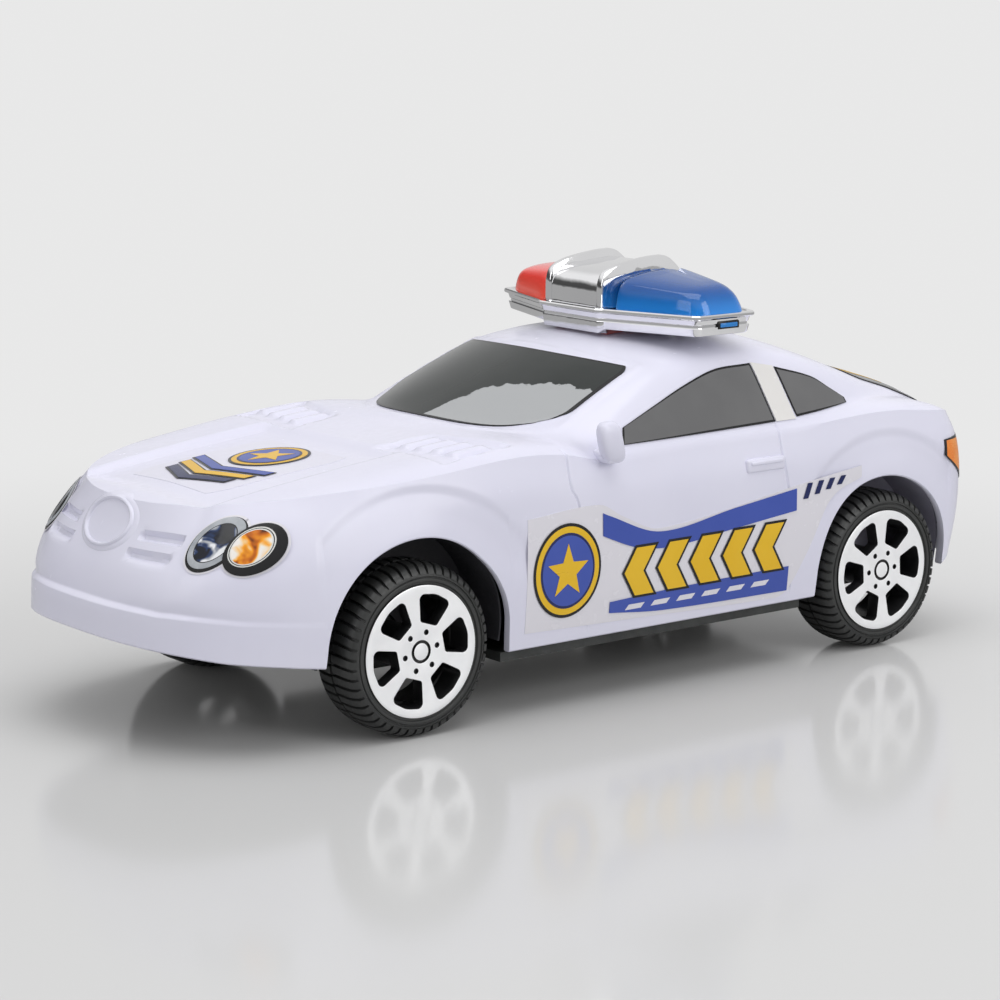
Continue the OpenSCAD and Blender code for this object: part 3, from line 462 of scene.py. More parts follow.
# body shell: columns run round the wall, rows run up it, and a cap closes the top
shell = {"cornerCols": 16, "tailCols": 12, "sillCols": 84, "across": 112, "levels": 38, "lip": 0.2, "rimRound": 0.3,
         "doorFront": [(14.2, 10.6), (22.6, 10.9), (35.7, 12.0), (44.7, 14.2), (46.6, 15.4), (52.1, 15.6)],
         "doorRear": [(14.2, -47.5), (26.2, -47.4), (37.5, -46.2), (47.6, -44.6), (54.2, -44.5)],
         "lineDepth": 0.32, "lineHalf": 0.42, "lineSteps": (-1.6, -1, -0.5, 0, 0.5, 1, 1.6), "lineClear": 0.9,
         "warp": 24, "doorZ": (14.2, 54.2), "lineFade": (1, 3), "lineTop": 40.4,
         "slotDepth": 1.1, "slots": [(42.0, 43.5, 12.0, 23.0), (38.2, 39.7, 10.9, 22.6)], "slotSoft": (0.5, 0.7),
         "slotAhead": 88, "steep": [0, 5, 9, 13, 17, 21, 25, 28.5, 32], "round": (35, 90, 21), "evenness": 0.65,
         # the last key counts the inner wall rows painted near-black as painted shade
         "ledgeRows": [0.24, 0.25, 0.257, 0.264, 0.271, 0.278, 0.285, 0.292, 0.305], "innerRows": 13, "paintedShadeRows": 10}
doorLines = [shell["doorFront"], shell["doorRear"]]


def sideColumns():
    half = shell["steep"] + list(np.linspace(*shell["round"]))
    arch = half + [180 - a for a in half[-2::-1]]
    lip = shell["lip"]
    cols = [(0, 1 - i / shell["cornerCols"]) for i in range(shell["cornerCols"])]
    cols += [(1, xFront + archR + lip)] + [(1, xFront + archR * math.cos(math.radians(a))) for a in arch]
    sill = list(np.linspace(xFront - archR - lip, xRear + archR + lip, shell["sillCols"]))
    for line in doorLines:  # a few close columns carry each door line
        at = line[-1][1]
        sill = [x for x in sill if abs(x - at) > shell["lineClear"]]
        sill += [at + d * shell["lineHalf"] for d in shell["lineSteps"]]
    cols += [(1, x) for x in sorted(sill, reverse=True)]
    cols += [(1, xRear + archR * math.cos(math.radians(a))) for a in arch] + [(1, xRear - archR - lip)]
    cols += [(2, (i + 1) / shell["tailCols"]) for i in range(shell["tailCols"])]
    return cols


def doorShift(c, z):  # side columns lean with the door lines
    move = np.zeros(np.broadcast(c, z).shape)
    for line in doorLines:
        at = line[-1][1]
        near = np.clip(1 - np.abs(c - at) / shell["warp"], 0, 1)
        move = move + near * (curve(np.clip(z, *shell["doorZ"]), line) - at)
    return move


sideCols = sideColumns()
acrossW = np.linspace(1, -1, shell["across"] + 1)
across = mix(np.sin(acrossW * math.pi / 2), acrossW, shell["evenness"])
levels = np.unique(np.concatenate([np.linspace(0, 1, shell["levels"]), shell["ledgeRows"]]))
colKind, colAt = (np.array(column)[:, None] for column in zip(*sideCols))
ns, ny = len(sideCols), len(across) - 1


def sidePlan(t, g, shift=0.0):
    front = mix(xFront + archR + shell["lip"], cornerFront(t, g)[0], colAt)
    rear = mix(xRear - archR - shell["lip"], cornerRear(t, g)[0], colAt)
    x = np.where(colKind == 1, colAt + shift, np.where(colKind == 0, front, rear))
    return x, sideY(x, t, g)


def frontPlan(t, g):  # from the right corner round to the left one, ends left out
    y = across[1:-1][::-1, None] * cornerFront(t, g)[1]
    return frontX(y, t, g), y


def rearPlan(t, g):
    y = across[1:-1][:, None] * cornerRear(t, g)[1]
    return rearX(y, t, g), y


def wallTable(g, drop, low, rows):  # rows are shares of the way from the rim to the shoulder, low is added to the rim
    parts = []
    for name, plan in (("left", sidePlan), ("rear", rearPlan), ("right", sidePlan), ("front", frontPlan)):
        x0 = plan(np.zeros((1, 1)), g)[0]
        x1, y1 = plan(np.ones((1, 1)), g)
        z0, z1 = rimZ(x0), topZ(x1, y1) - drop
        ze = edgeZ(x0) if plan is sidePlan else z0
        z = mix(ze + low, z1, rows[None, :]) if np.ndim(rows) else ze + rows
        t = (z - z0) / (z1 - z0)
        if plan is sidePlan:
            x, y = plan(t, g, np.where(colKind == 1, doorShift(colAt, z), 0))
        else:
            x, y = plan(t, g)
        table = np.stack([x, y, z * np.ones_like(x)], -1)
        if name == "right":
            table = table[::-1] * np.array([1, -1, 1])
        parts.append(table)
    loop = np.concatenate(parts)
    return np.concatenate([loop, loop[:1]])


def capTable(g, drop):
    one = np.ones((1, 1))
    lx, ly = (a[:, 0] for a in sidePlan(one, g))
    fx, fy = (a[:, 0] for a in frontPlan(one, g))
    rx, ry = (a[:, 0] for a in rearPlan(one, g))
    (cfx, cfy), (crx, cry) = ([float(a[0, 0]) for a in c(one, g)] for c in (cornerFront, cornerRear))
    fx, fy = np.concatenate([[cfx], fx[::-1], [cfx]]), np.concatenate([[cfy], fy[::-1], [-cfy]])
    rx, ry = np.concatenate([[crx], rx, [crx]]), np.concatenate([[cry], ry, [-cry]])
    u = ((lx - crx) / (cfx - crx))[:, None]
    x = lx[:, None] + mix(rx, fx, u) - mix(crx, cfx, u)
    y = ly[:, None] * across + mix(ry, fy, u) - across * mix(cry, cfy, u)
    return np.stack([x, y, topZ(x, y) - drop], -1)


def tableNormals(table, wrap):
    if wrap:
        du = np.roll(table[:-1], -1, 0) - np.roll(table[:-1], 1, 0)
        du = np.concatenate([du, du[:1]])
    else:
        du = np.gradient(table, axis=0)
    return unitRows(np.cross(du, np.gradient(table, axis=1)))


def box01(v, lo, hi, soft):
    return ease((v - lo) / soft + 0.5) * ease((hi - v) / soft + 0.5)


def noseSlots(p):
    y = np.abs(p[..., 1])
    d = 0
    for z0, z1, y0, y1 in shell["slots"]:
        softZ, softY = shell["slotSoft"]
        d = d - shell["slotDepth"] * box01(p[..., 2], z0, z1, softZ) * box01(y, y0, y1, softY)
    return d * (p[..., 0] > shell["slotAhead"])


vent = {"corners": [(45.5, 15.5), (45.5, 39.0), (27.0, 37.5), (33.0, 17.0)], "depth": 0.8, "soft": 0.9, "louvres": 4,
        "rise": 1.0, "first": (37.6, 20.5), "step": (-0.5, 4.8), "half": (4.6, 1.75), "endSoft": 1.6}


def inRow(look, i):  # place of one mark in an even row
    return (first + i * step for first, step in zip(look["first"], look["step"]))


def insidePoly(x, y, pts):  # signed distance to a convex outline, positive inside
    d = np.full(np.shape(x), 1e9)
    mid = np.mean(pts, axis=0)
    for a, b in zip(pts, pts[1:] + pts[:1]):
        e = np.subtract(b, a)
        n = np.array([-e[1], e[0]]) / np.hypot(*e)
        if np.dot(n, np.subtract(mid, a)) < 0:
            n = -n
        d = np.minimum(d, (x - a[0]) * n[0] + (y - a[1]) * n[1])
    return d


def ventRelief(p):
    x, y = p[..., 0], np.abs(p[..., 1])
    d = insidePoly(x, y, vent["corners"])
    relief = -vent["depth"] * ease(d / vent["soft"] + 0.3)
    for i in range(vent["louvres"]):
        xc, yc = inRow(vent, i)
        hump = np.sqrt(np.clip(1 - ((y - yc) / vent["half"][1]) ** 2, 0, 1))
        relief = relief + vent["rise"] * hump * box01(x, xc - vent["half"][0], xc + vent["half"][0], vent["endSoft"])
    return relief


def screenRelief(p):  # low frame round the windscreen
    x, y = p[..., 0], p[..., 1]
    look = {"foot": 0.2, "head": 0.4, "corner": 8, "reach": 30.5, "sides": (13.2, 15.8), "high": 0.35, "out": 0.9,
            "soft": 0.55, "above": 55}
    wrap = car["screenWrap"] * y * y
    foot = screenX + look["foot"] - wrap - look["corner"] * np.minimum(np.abs(y) / look["reach"], 1) ** 6
    head = screenTopX + look["head"] - wrap
    side = halfW - mix(*look["sides"], np.clip((foot - x) / (foot - head), 0, 1)) - np.abs(y)
    d = np.minimum(np.minimum(foot - x, x - head), side)
    return look["high"] * np.exp(-((d + look["out"]) / look["soft"]) ** 2) * (p[..., 2] > look["above"])


def lineGroove(p, cols):  # thin moulded door lines
    d = np.zeros(p.shape[:-1])
    for line in doorLines:
        at = line[-1][1]
        d = d - shell["lineDepth"] * np.clip(1 - np.abs(cols - at) / shell["lineHalf"], 0, 1)
    return d


def archRelief(p):  # the flank is set in a little over each wheel
    look = {"reach": {xRear: 31.5, xFront: 33.0}, "depth": 0.5, "soft": 2.2, "lip": 7, "low": 28, "rise": 8,
            "out": 34}
    d = 0
    for xa, reach in look["reach"].items():
        r = np.hypot(p[..., 0] - xa, p[..., 2] - axleZ)
        fade = ease((r - archR) / look["lip"]) * ease((p[..., 2] - look["low"]) / look["rise"])
        d = d - look["depth"] * (1 - ease((r - reach) / look["soft"] + 0.5)) * fade
    return d * (np.abs(p[..., 1]) > look["out"])


def makeShell():
    low = shell["rimRound"]
    outer = wallTable(0, 0, low, levels)
    cap = capTable(0, 0)
    loopN = outer.shape[0]
    colX = np.full(loopN, 1e9)
    only = np.where(colKind == 1, colAt, 1e9)[:, 0]
    colX[:ns] = only
    colX[ns + ny - 1:2 * ns + ny - 1] = only[::-1]
    wallN, capN = tableNormals(outer, True), tableNormals(cap, False)
    if wallN[ns // 2, 3, 1] < 0:
        wallN = -wallN
    if capN[ns // 2, ny // 2, 2] < 0:
        capN = -capN
    isSide = (colX < 1e8)[:, None]
    start, run = shell["lineFade"]
    grooves = lineGroove(outer, colX[:, None]) * ease((outer[..., 2] - sillZ - start) / run)
    outer = outer + wallN * (noseSlots(outer) + grooves + archRelief(outer) * isSide)[..., None]
    capGroove = lineGroove(cap, only[:, None]) * (np.abs(cap[..., 1]) > shell["lineTop"])
    cap = cap + capN * (ventRelief(cap) + screenRelief(cap) + capGroove)[..., None]
    top = outer[:, -1]
    cap[:, 0] = top[:ns]
    cap[:, -1] = top[ns + ny - 1:2 * ns + ny - 1][::-1]
    cap[-1, 1:-1] = top[ns:ns + ny - 1]
    cap[0, 1:-1] = top[2 * ns + ny - 1:2 * ns + 2 * ny - 2][::-1]
    wall = car["wall"]
    inner = wallTable(wall, wall, low, np.linspace(0, 1, shell["innerRows"]))
    innerCap = capTable(wall, wall)
    lips = [inner[:, ::-1], wallTable(wall - low, 0, 0, 0.0), wallTable(low, 0, 0, 0.0)]
    full = np.concatenate(lips + [outer], axis=1).transpose(1, 0, 2)
    wallObj, capObj = gridFrom("shellWall", full), gridFrom("shellCap", cap.transpose(1, 0, 2))
    liner = gridFrom("shellLiner", innerCap[::-1].transpose(1, 0, 2))
    # upper inner wall rows and the liner under the cap are the white plastic painted near-black: painted shade
    dark = np.zeros((full.shape[0] - 1, full.shape[1] - 1), int)
    dark[:shell["paintedShadeRows"]] = 1
    for obj, tones, marks in ((wallObj, ("whitePlastic", "shellInPaintedShade"), dark), (capObj, ("whitePlastic",), None),
                              (liner, ("shellInPaintedShade",), None)):
        for tone in tones:
            obj.data.materials.append(paints[tone])
        if marks is not None:
            obj.data.polygons.foreach_set("material_index", marks.ravel())
    obj = joinAll([wallObj, capObj, liner], "bodyShell")
    mergeDoubles(obj, 2e-6)
    return obj


# materials: shared effects are node groups, shaders stay in each material
grainLook = {"detail": (3, 2, 4), "turn": (0.3, 0.5, 0.7), "stretch": (1, 9, 1.6), "scuff": (0.62, 0.74),
             "fine": 14.0, "streak": 1.7, "tone": (0.35, 0.65), "gloss": (0.3, 0.7), "coatRough": 0.06}


def makeGrainGroup():  # broad tone, fine grain and sparse scuffs, all on object coordinates
    group = bpy.data.node_groups.new("grain", "ShaderNodeTree")
    for label, way in (("Scale", "INPUT"), ("Tone", "OUTPUT"), ("Fine", "OUTPUT"), ("Scuff", "OUTPUT")):
        group.interface.new_socket(label, in_out=way, socket_type="NodeSocketFloat")
    scale = group.nodes.new("NodeGroupInput").outputs["Scale"]
    end = group.nodes.new("NodeGroupOutput")
    coord = addNode(group, "TexCoord").outputs["Object"]
    broad, fine, streak = (addNode(group, "TexNoise", {"Detail": n}) for n in grainLook["detail"])
    stretch = addNode(group, "Mapping", {"Rotation": grainLook["turn"], "Scale": grainLook["stretch"]})
    ramp = stepNode(group, *grainLook["scuff"])
    wire(group, (coord, stretch.inputs["Vector"]), (coord, broad.inputs["Vector"]), (coord, fine.inputs["Vector"]),
         (stretch.outputs[0], streak.inputs["Vector"]), (scale, broad.inputs["Scale"]),
         (mathNode(group, "MULTIPLY", scale, grainLook["fine"]), fine.inputs["Scale"]),
         (mathNode(group, "MULTIPLY", scale, grainLook["streak"]), streak.inputs["Scale"]),
         (streak.outputs[0], ramp.inputs[0]), (broad.outputs[0], end.inputs["Tone"]),
         (fine.outputs[0], end.inputs["Fine"]), (ramp.outputs[0], end.inputs["Scuff"]))
    return group


grainGroup = makeGrainGroup()


def makeMaterial(name, colour, tint, rough, bump=0.05, depth=0.02, scale=120.0, metallic=0.0, coat=0.0,
                 transmission=0.0, ior=1.5, scuff=0.06, level=0.5):
    mat = bpy.data.materials.new(name)
    mat.use_nodes = True
    tree = mat.node_tree
    shader = tree.nodes["Principled BSDF"]
    for socket, value in (("Metallic", metallic), ("Coat Weight", coat), ("Coat Roughness", grainLook["coatRough"]),
                          ("Transmission Weight", transmission), ("IOR", ior), ("Specular IOR Level", level)):
        shader.inputs[socket].default_value = value
    grain = addNode(tree, "Group", node_tree=grainGroup)
    grain.inputs["Scale"].default_value = scale
    blend = addNode(tree, "MixRGB", {1: (*colour, 1), 2: (*tint, 1)})
    spread = addNode(tree, "MapRange", dict(enumerate(grainLook["tone"], 1)))
    gloss = addNode(tree, "MapRange", dict(enumerate(grainLook["gloss"] + rough, 1)))
    worn = mathNode(tree, "MULTIPLY", grain.outputs["Scuff"], scuff)
    relief = addNode(tree, "Bump", {"Strength": bump, "Distance": depth * mm})
    wire(tree, (grain.outputs["Tone"], spread.inputs[0]), (spread.outputs[0], blend.inputs[0]),
         (blend.outputs[0], shader.inputs["Base Color"]), (grain.outputs["Fine"], gloss.inputs[0]),
         (mathNode(tree, "ADD", gloss.outputs[0], worn), shader.inputs["Roughness"]),
         (grain.outputs["Fine"], relief.inputs["Height"]), (relief.outputs[0], shader.inputs["Normal"]))
    return mat


looks = {  # colour, second colour, roughness, bump, its depth in mm, grain, then the rest
    "whitePlastic": ((0.72, 0.715, 0.84), (0.745, 0.74, 0.86), (0.20, 0.27), 0.05, 0.02, 45,
                     {"coat": 0.05, "scuff": 0.015, "level": 0.30}),
    # the shell's white plastic painted near-black where its inside lies in shadow: painted shade
    "shellInPaintedShade": ((0.030, 0.030, 0.036), (0.045, 0.045, 0.052), (0.5, 0.65), 0.1, 0.05, 120, {}),
    # the shell's white plastic painted lavender-grey for the dimly lit rear arch linings: painted shade
    "shellInPaintedHalfShade": ((0.30, 0.29, 0.37), (0.36, 0.35, 0.43), (0.4, 0.55), 0.1, 0.05, 120, {}),
    "blackPlastic": ((0.022, 0.024, 0.023), (0.04, 0.043, 0.041), (0.42, 0.6), 0.25, 0.08, 160, {}),
    "tyreRubber": ((0.020, 0.021, 0.021), (0.031, 0.032, 0.031), (0.38, 0.55), 0.2, 0.05, 140, {}),
    "wheelBlack": ((0.008, 0.008, 0.009), (0.02, 0.02, 0.021), (0.3, 0.45), 0.15, 0.04, 200, {}),
    "wheelSilver": ((0.90, 0.905, 0.92), (0.95, 0.955, 0.965), (0.28, 0.42), 0.2, 0.04, 260, {"metallic": 0.25}),
    "chrome": ((0.80, 0.80, 0.815), (0.90, 0.90, 0.91), (0.03, 0.08), 0.5, 0.15, 20, {"metallic": 1.0}),
    "redLens": ((0.90, 0.045, 0.035), (0.95, 0.07, 0.05), (0.05, 0.10), 0.03, 0.02, 90,
                {"transmission": 0.05, "ior": 1.49, "coat": 0.15, "level": 0.3}),
    "blueLens": ((0.015, 0.15, 0.70), (0.025, 0.20, 0.80), (0.05, 0.10), 0.03, 0.02, 90,
                 {"transmission": 0.30, "ior": 1.49, "coat": 0.3, "level": 0.35}),
    "redPad": ((0.60, 0.14, 0.14), (0.68, 0.20, 0.20), (0.3, 0.4), 0.1, 0.03, 150, {}),
    "steel": ((0.55, 0.55, 0.56), (0.66, 0.66, 0.67), (0.18, 0.32), 0.15, 0.03, 200, {"metallic": 1.0}),
    "darkSteel": ((0.16, 0.165, 0.17), (0.24, 0.245, 0.25), (0.3, 0.5), 0.2, 0.05, 160, {"metallic": 1.0}),
    "greyCase": ((0.24, 0.245, 0.25), (0.30, 0.305, 0.31), (0.4, 0.55), 0.2, 0.06, 140, {}),
    "whiteGear": ((0.76, 0.75, 0.71), (0.82, 0.81, 0.78), (0.35, 0.5), 0.15, 0.04, 150, {}),
    "paperPale": ((0.725, 0.71, 0.765), (0.735, 0.72, 0.775), (0.24, 0.28), 0.01, 0.01, 30, {"scuff": 0.01}),
    "paperClear": ((0.72, 0.712, 0.82), (0.735, 0.727, 0.835), (0.22, 0.27), 0.01, 0.01, 30, {"scuff": 0.01}),
    "paperCream": ((0.73, 0.715, 0.70), (0.75, 0.735, 0.72), (0.24, 0.28), 0.01, 0.01, 30, {"scuff": 0.01}),
    "inkBlue": ((0.045, 0.080, 0.36), (0.06, 0.10, 0.42), (0.22, 0.26), 0.01, 0.01, 30,
                {"scuff": 0.01, "level": 0.25}),
    "inkNavy": ((0.014, 0.020, 0.085), (0.02, 0.028, 0.11), (0.22, 0.26), 0.01, 0.01, 30,
                {"scuff": 0.01, "level": 0.25}),
    "inkYellow": ((0.74, 0.43, 0.012), (0.80, 0.50, 0.03), (0.22, 0.26), 0.01, 0.01, 30,
                  {"scuff": 0.01, "level": 0.25}),
    "inkBlack": ((0.010, 0.010, 0.011), (0.018, 0.018, 0.019), (0.22, 0.26), 0.01, 0.01, 30,
                 {"scuff": 0.01, "level": 0.25}),
    "inkSilver": ((0.28, 0.30, 0.33), (0.52, 0.54, 0.57), (0.18, 0.3), 0.06, 0.02, 150, {"level": 0.3}),
    "inkPearl": ((0.62, 0.62, 0.60), (0.74, 0.74, 0.72), (0.18, 0.28), 0.05, 0.02, 120, {}),
    "inkOrange": ((0.82, 0.20, 0.015), (0.88, 0.32, 0.05), (0.2, 0.3), 0.06, 0.02, 260, {}),
    "windowGrey": ((0.128, 0.128, 0.131), (0.150, 0.150, 0.153), (0.14, 0.22), 0.05, 0.02, 60, {"level": 0.4}),
}
paints = {name: makeMaterial(name, *look[:6], **look[6]) for name, look in looks.items()}


# each dome's base colour runs from a paler foot to a darker top: painted light
domePaintedLight = {"blueLens": ((0.03, 0.32, 0.92), (0.002, 0.10, 0.42), 78.5, 84.0),
             "redLens": ((0.97, 0.11, 0.07), (0.95, 0.05, 0.04), 78.5, 84.5)}


def paintDomeLight(mat, low, high, z0, z1):  # paler near its foot: painted light standing for the light that comes through
    tree = mat.node_tree
    split = addNode(tree, "SeparateXYZ")
    rise = stepNode(tree, z0 * mm, z1 * mm)
    tint = addNode(tree, "MixRGB", {1: (*low, 1), 2: (*high, 1)})
    wire(tree, (addNode(tree, "TexCoord").outputs["Object"], split.inputs[0]), (split.outputs[2], rise.inputs[0]),
         (rise.outputs[0], tint.inputs[0]), (tint.outputs[0], tree.nodes["Principled BSDF"].inputs["Base Color"]))


for name, tints in domePaintedLight.items():
    paintDomeLight(paints[name], *tints)
print("materials made", len(paints))


# pieces on the skin
heart = np.array([-10, 0, 36])  # a point well inside the body
cabinSpan = (20.0, halfW - 2.3)
sheet = {"lift": 0.05, "film": 0.2, "side": 0.18, "ink": 0.05}


def skinSheet(name, table, low, thick, inks, marks=None):  # a thin closed sheet over the skin
    n = tableNormals(table, False)
    if (n * (table - heart)).sum() < 0:
        table, n = table[::-1], -n[::-1]
        marks = marks[::-1] if marks is not None else None
    obj = gridFrom(name, (table + n * low).transpose(1, 0, 2))
    for ink in inks:
        obj.data.materials.append(paints[ink])
    if marks is not None:
        obj.data.polygons.foreach_set("material_index", marks.T.ravel().astype(int))
    addModifier(obj, "SOLIDIFY", thickness=thick * mm, offset=1.0)
    return obj


def halve(low, high, over):  # where a test stops holding, by halving
    for _ in range(24):
        middle = (low + high) / 2
        above = over(middle)
        low, high = np.where(above, middle, low), np.where(above, high, middle)
    return low


def cabinY(x, z):
    return halve(*(np.full(np.shape(x), y) for y in cabinSpan), lambda y: topZ(x, y) > z)


def nosePoint(y, z):
    x1 = frontX(y, 1.0, 0)
    z0 = rimZ(frontX(y, 0.0, 0))
    t = (z - z0) / (topZ(x1, y) - z0)
    above = halve(np.full(np.shape(y), xFront), x1 * np.ones(np.shape(y)), lambda x: topZ(x, y) > z)
    return np.stack([np.where(t < 1, frontX(y, np.minimum(t, 1), 0), above), y, z], -1)


def onTop(x, y):
    return np.stack([x, y, topZ(x, y)], -1)


def sided(table, side):
    return table * np.array([1, side, 1])


def edged(n, share):  # steps from 0 to 1 with a narrow first and last cell
    return np.concatenate([[0], np.linspace(share, 1 - share, n - 1), [1]])


def borderMarks(nu, nv):
    marks = np.ones((nu, nv), int)
    marks[1:-1, 1:-1] = 0
    return marks


def makeBadge():
    look = {"centre": (0.0, 43.5), "half": (8.5, 4.8), "sectors": 96,
            "rings": [(0.0, 0.30), (0.45, 0.30), (0.84, 0.30), (0.865, 0.62), (0.90, 0.80), (0.94, 0.80),
                      (0.98, 0.62), (1.0, 0.34), (1.06, 0.30), (1.14, 0.10), (1.22, -0.3)]}
    (cy, cz), (hy, hz) = look["centre"], look["half"]
    a = np.linspace(0, 2 * math.pi, look["sectors"] + 1)
    r, high = (np.array(column)[:, None] for column in zip(*look["rings"]))
    skin = nosePoint(cy + r * hy * np.cos(a), cz + r * hz * np.sin(a))
    flat = nosePoint(cy + np.array([0.0, 0.5, 0.0]), cz + np.array([0.0, 0.0, 0.5]))
    n = unitRows(np.cross(flat[1] - flat[0], flat[2] - flat[0]))
    n = n if n[0] > 0 else -n
    obj = gridFrom("badge", (skin + n * high[..., None]).transpose(1, 0, 2))
    mergeDoubles(obj, 1e-5)
    smooth(obj, 50)
    return finishPiece(obj, paints["whitePlastic"], "car", "white_shell")


def roundedBox(name, size, place, bevel, steps=3):
    deselectAll()
    bpy.ops.mesh.primitive_cube_add(size=1, location=[v * mm for v in place])
    obj = bpy.context.object
    obj.name = name
    obj.scale = [v * mm for v in size]
    settle(obj)
    addModifier(obj, "BEVEL", width=bevel * mm, segments=steps, limit_method="NONE")
    return obj


def makeHandle(side):
    look = {"at": (-39.0, 46.2), "size": (11.2, 1.5, 3.0), "bevel": 0.6, "sink": 0.05,
            "grip": (9.4, 0.8, 0.9), "gripOut": 0.65, "gripUp": 0.6, "gripBevel": 0.3}
    x, y, z = wallPoint(*(np.array(v) for v in look["at"]))
    plate = roundedBox("plate", look["size"], (x, side * (y - look["sink"]), z), look["bevel"])
    grip = roundedBox("grip", look["grip"], (x, side * (y + look["gripOut"]), z + look["gripUp"]), look["gripBevel"])
    obj = joinAll([plate, grip], f"doorHandle{sideNames[side]}")
    smooth(obj, 45)
    return finishPiece(obj, paints["whitePlastic"], "car", "white_shell")


def makeMirror(side):
    look = {"middle": (6.2, 44.9, 55.8), "half": (2.9, 1.7, 4.6), "lean": 0.32, "bow": 0.03, "curl": 0.025,
            "curlAt": 2, "round": 3.2, "foot": (4.2, 6.0, 2.6), "footAt": (4.9, 42.2, 52.5), "footBevel": 0.9}
    deselectAll()
    bpy.ops.mesh.primitive_cube_add(size=2, location=(0, 0, 0))
    head = bpy.context.object
    addModifier(head, "SUBSURF", levels=3, render_levels=3, subdivision_type="SIMPLE")
    flat = np.empty(len(head.data.vertices) * 3)
    head.data.vertices.foreach_get("co", flat)
    v = flat.reshape(-1, 3)
    v = v / ((np.abs(v) ** look["round"]).sum(1, keepdims=True) ** (1 / look["round"])) * np.array(look["half"])
    v[:, 0] += v[:, 2] * look["lean"] - look["bow"] * v[:, 2] ** 2
    v[:, 1] -= look["curl"] * (v[:, 2] - look["curlAt"]) ** 2
    v = (v + np.array(look["middle"])) * np.array([1, side, 1])
    head.data.vertices.foreach_set("co", (v * mm).ravel())
    x, y, z = look["footAt"]
    foot = roundedBox("foot", look["foot"], (x, side * y, z), look["footBevel"], 4)
    obj = joinAll([head, foot], f"doorMirror{sideNames[side]}")
    mergeDoubles(obj, 1e-7)
    smooth(obj, 60)
    return finishPiece(obj, paints["whitePlastic"], "car", "white_shell")


bodyShell = makeShell()
smooth(bodyShell, 38)
print("body shell made", len(bodyShell.data.polygons))
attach(bodyShell, "car")
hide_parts("body_shell")
makeBadge()
for side in (1, -1):
    makeHandle(side)
makeMirror(1)
print("badge, handles and mirror made")


# window stickers
def finishSticker(obj, slotName, *nodes):
    smooth(obj, 40)
    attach(obj, "car")
    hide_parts(*nodes)
    return obj


def screenMaterial():  # dark film with a paler ragged patch painted low on one side, a painted reflection of a light
    look = {"grain": 330, "ragged": 7.0, "edge": (84.0, 92.0), "pale": (0.40, 0.41, 0.42, 1)}
    mat = makeMaterial("windscreenFilm", (0.030, 0.034, 0.033), (0.040, 0.044, 0.043), (0.10, 0.16), 0.06, 0.03, 60,
                       level=0.15)
    tree = mat.node_tree
    base = tree.nodes["Principled BSDF"].inputs["Base Color"]
    coord = addNode(tree, "TexCoord").outputs["Object"]
    split = addNode(tree, "SeparateXYZ")
    noise = addNode(tree, "TexNoise", {"Scale": look["grain"], "Detail": 5})
    wire(tree, (coord, split.inputs[0]), (coord, noise.inputs["Vector"]))
    x, y = (mathNode(tree, "MULTIPLY", split.outputs[i], 1 / mm) for i in (0, 1))
    bow = mathNode(tree, "MULTIPLY", mathNode(tree, "POWER", y, 2.0), car["screenWrap"])
    height = mathNode(tree, "SUBTRACT", mathNode(tree, "ADD", x, bow), 1.0)
    wave = mathNode(tree, "MULTIPLY", mathNode(tree, "SUBTRACT", noise.outputs[0], 0.5), look["ragged"])
    aside = mathNode(tree, "MAXIMUM", mathNode(tree, "ADD", y, 1.0), 0.0)
    edge = mathNode(tree, "MULTIPLY", mathNode(tree, "ADD", height, wave), aside)
    # the pale ragged patch is a painted reflection of a light
    paintedReflection = stepNode(tree, *look["edge"])
    pale = addNode(tree, "MixRGB", {2: look["pale"]})
    wire(tree, (edge, paintedReflection.inputs[0]), (base.links[0].from_socket, pale.inputs[1]),
         (paintedReflection.outputs[0], pale.inputs[0]), (pale.outputs[0], base))
    return mat


paints["screenFilm"] = screenMaterial()


def makeWindscreen():
    look = {"low": -0.8, "high": 1.0, "sides": (13.6, 15.8), "corner": 8.0, "cells": (56, 30),
            "narrow": (0.012, 0.02), "foot": (0.09, 0.22, 2), "head": (0.04, 0.14, 2.4)}
    u, v = lattice(*(edged(n, share) for n, share in zip(look["cells"], look["narrow"])))
    narrow = 1
    for t, (nip, run, power) in ((v, look["foot"]), (1 - v, look["head"])):
        narrow = narrow - nip * np.clip(1 - t / run, 0, 1) ** power
    q = mix(-1, 1, u)
    y = q * (halfW - mix(*look["sides"], v)) * narrow
    x = mix(screenX + look["low"] - look["corner"] * q ** 6, screenTopX + look["high"], v)
    table = onTop(x - car["screenWrap"] * y * y, y)
    marks = borderMarks(*look["cells"])
    obj = skinSheet("windscreenFilm", table, sheet["lift"], sheet["film"], ["screenFilm", "inkBlack"], marks)
    finishSticker(obj, "dark_sticker", "windscreen_sticker")


def makeRearWindow():
    look = {"x": (xRear - 5, xRear - 27), "sides": (17.2, 14.6), "cells": (48, 24), "narrow": (0.02, 0.04),
            "band": slice(17, 23), "barCells": (4, 8), "barLift": 0.27,
            "bars": np.linspace(-19.5, 19.5, 6), "barX": (xRear - 9.5, xRear - 19), "barHalf": 1.7, "slant": 3.6}
    u, v = lattice(*(edged(n, share) for n, share in zip(look["cells"], look["narrow"])))
    table = onTop(mix(*look["x"], v), mix(-1, 1, u) * (halfW - mix(*look["sides"], v)))
    marks = borderMarks(*look["cells"])
    marks[1:-1, look["band"]] = 2
    inks = ["windowGrey", "inkBlack", "paperPale"]
    bits = [skinSheet("rearWindowFilm", table, sheet["lift"], sheet["film"], inks, marks)]
    u, v = lattice(*(np.linspace(0, 1, n + 1) for n in look["barCells"]))
    for y in look["bars"]:
        table = onTop(mix(*look["barX"], v), y + mix(-1, 1, u) * look["barHalf"] + (v - 0.5) * look["slant"])
        bits.append(skinSheet("bar", table, look["barLift"], sheet["ink"], ["inkYellow"]))
    finishSticker(joinAll(bits, "rearWindowFilm"), "dark_sticker", "rear_window_sticker")


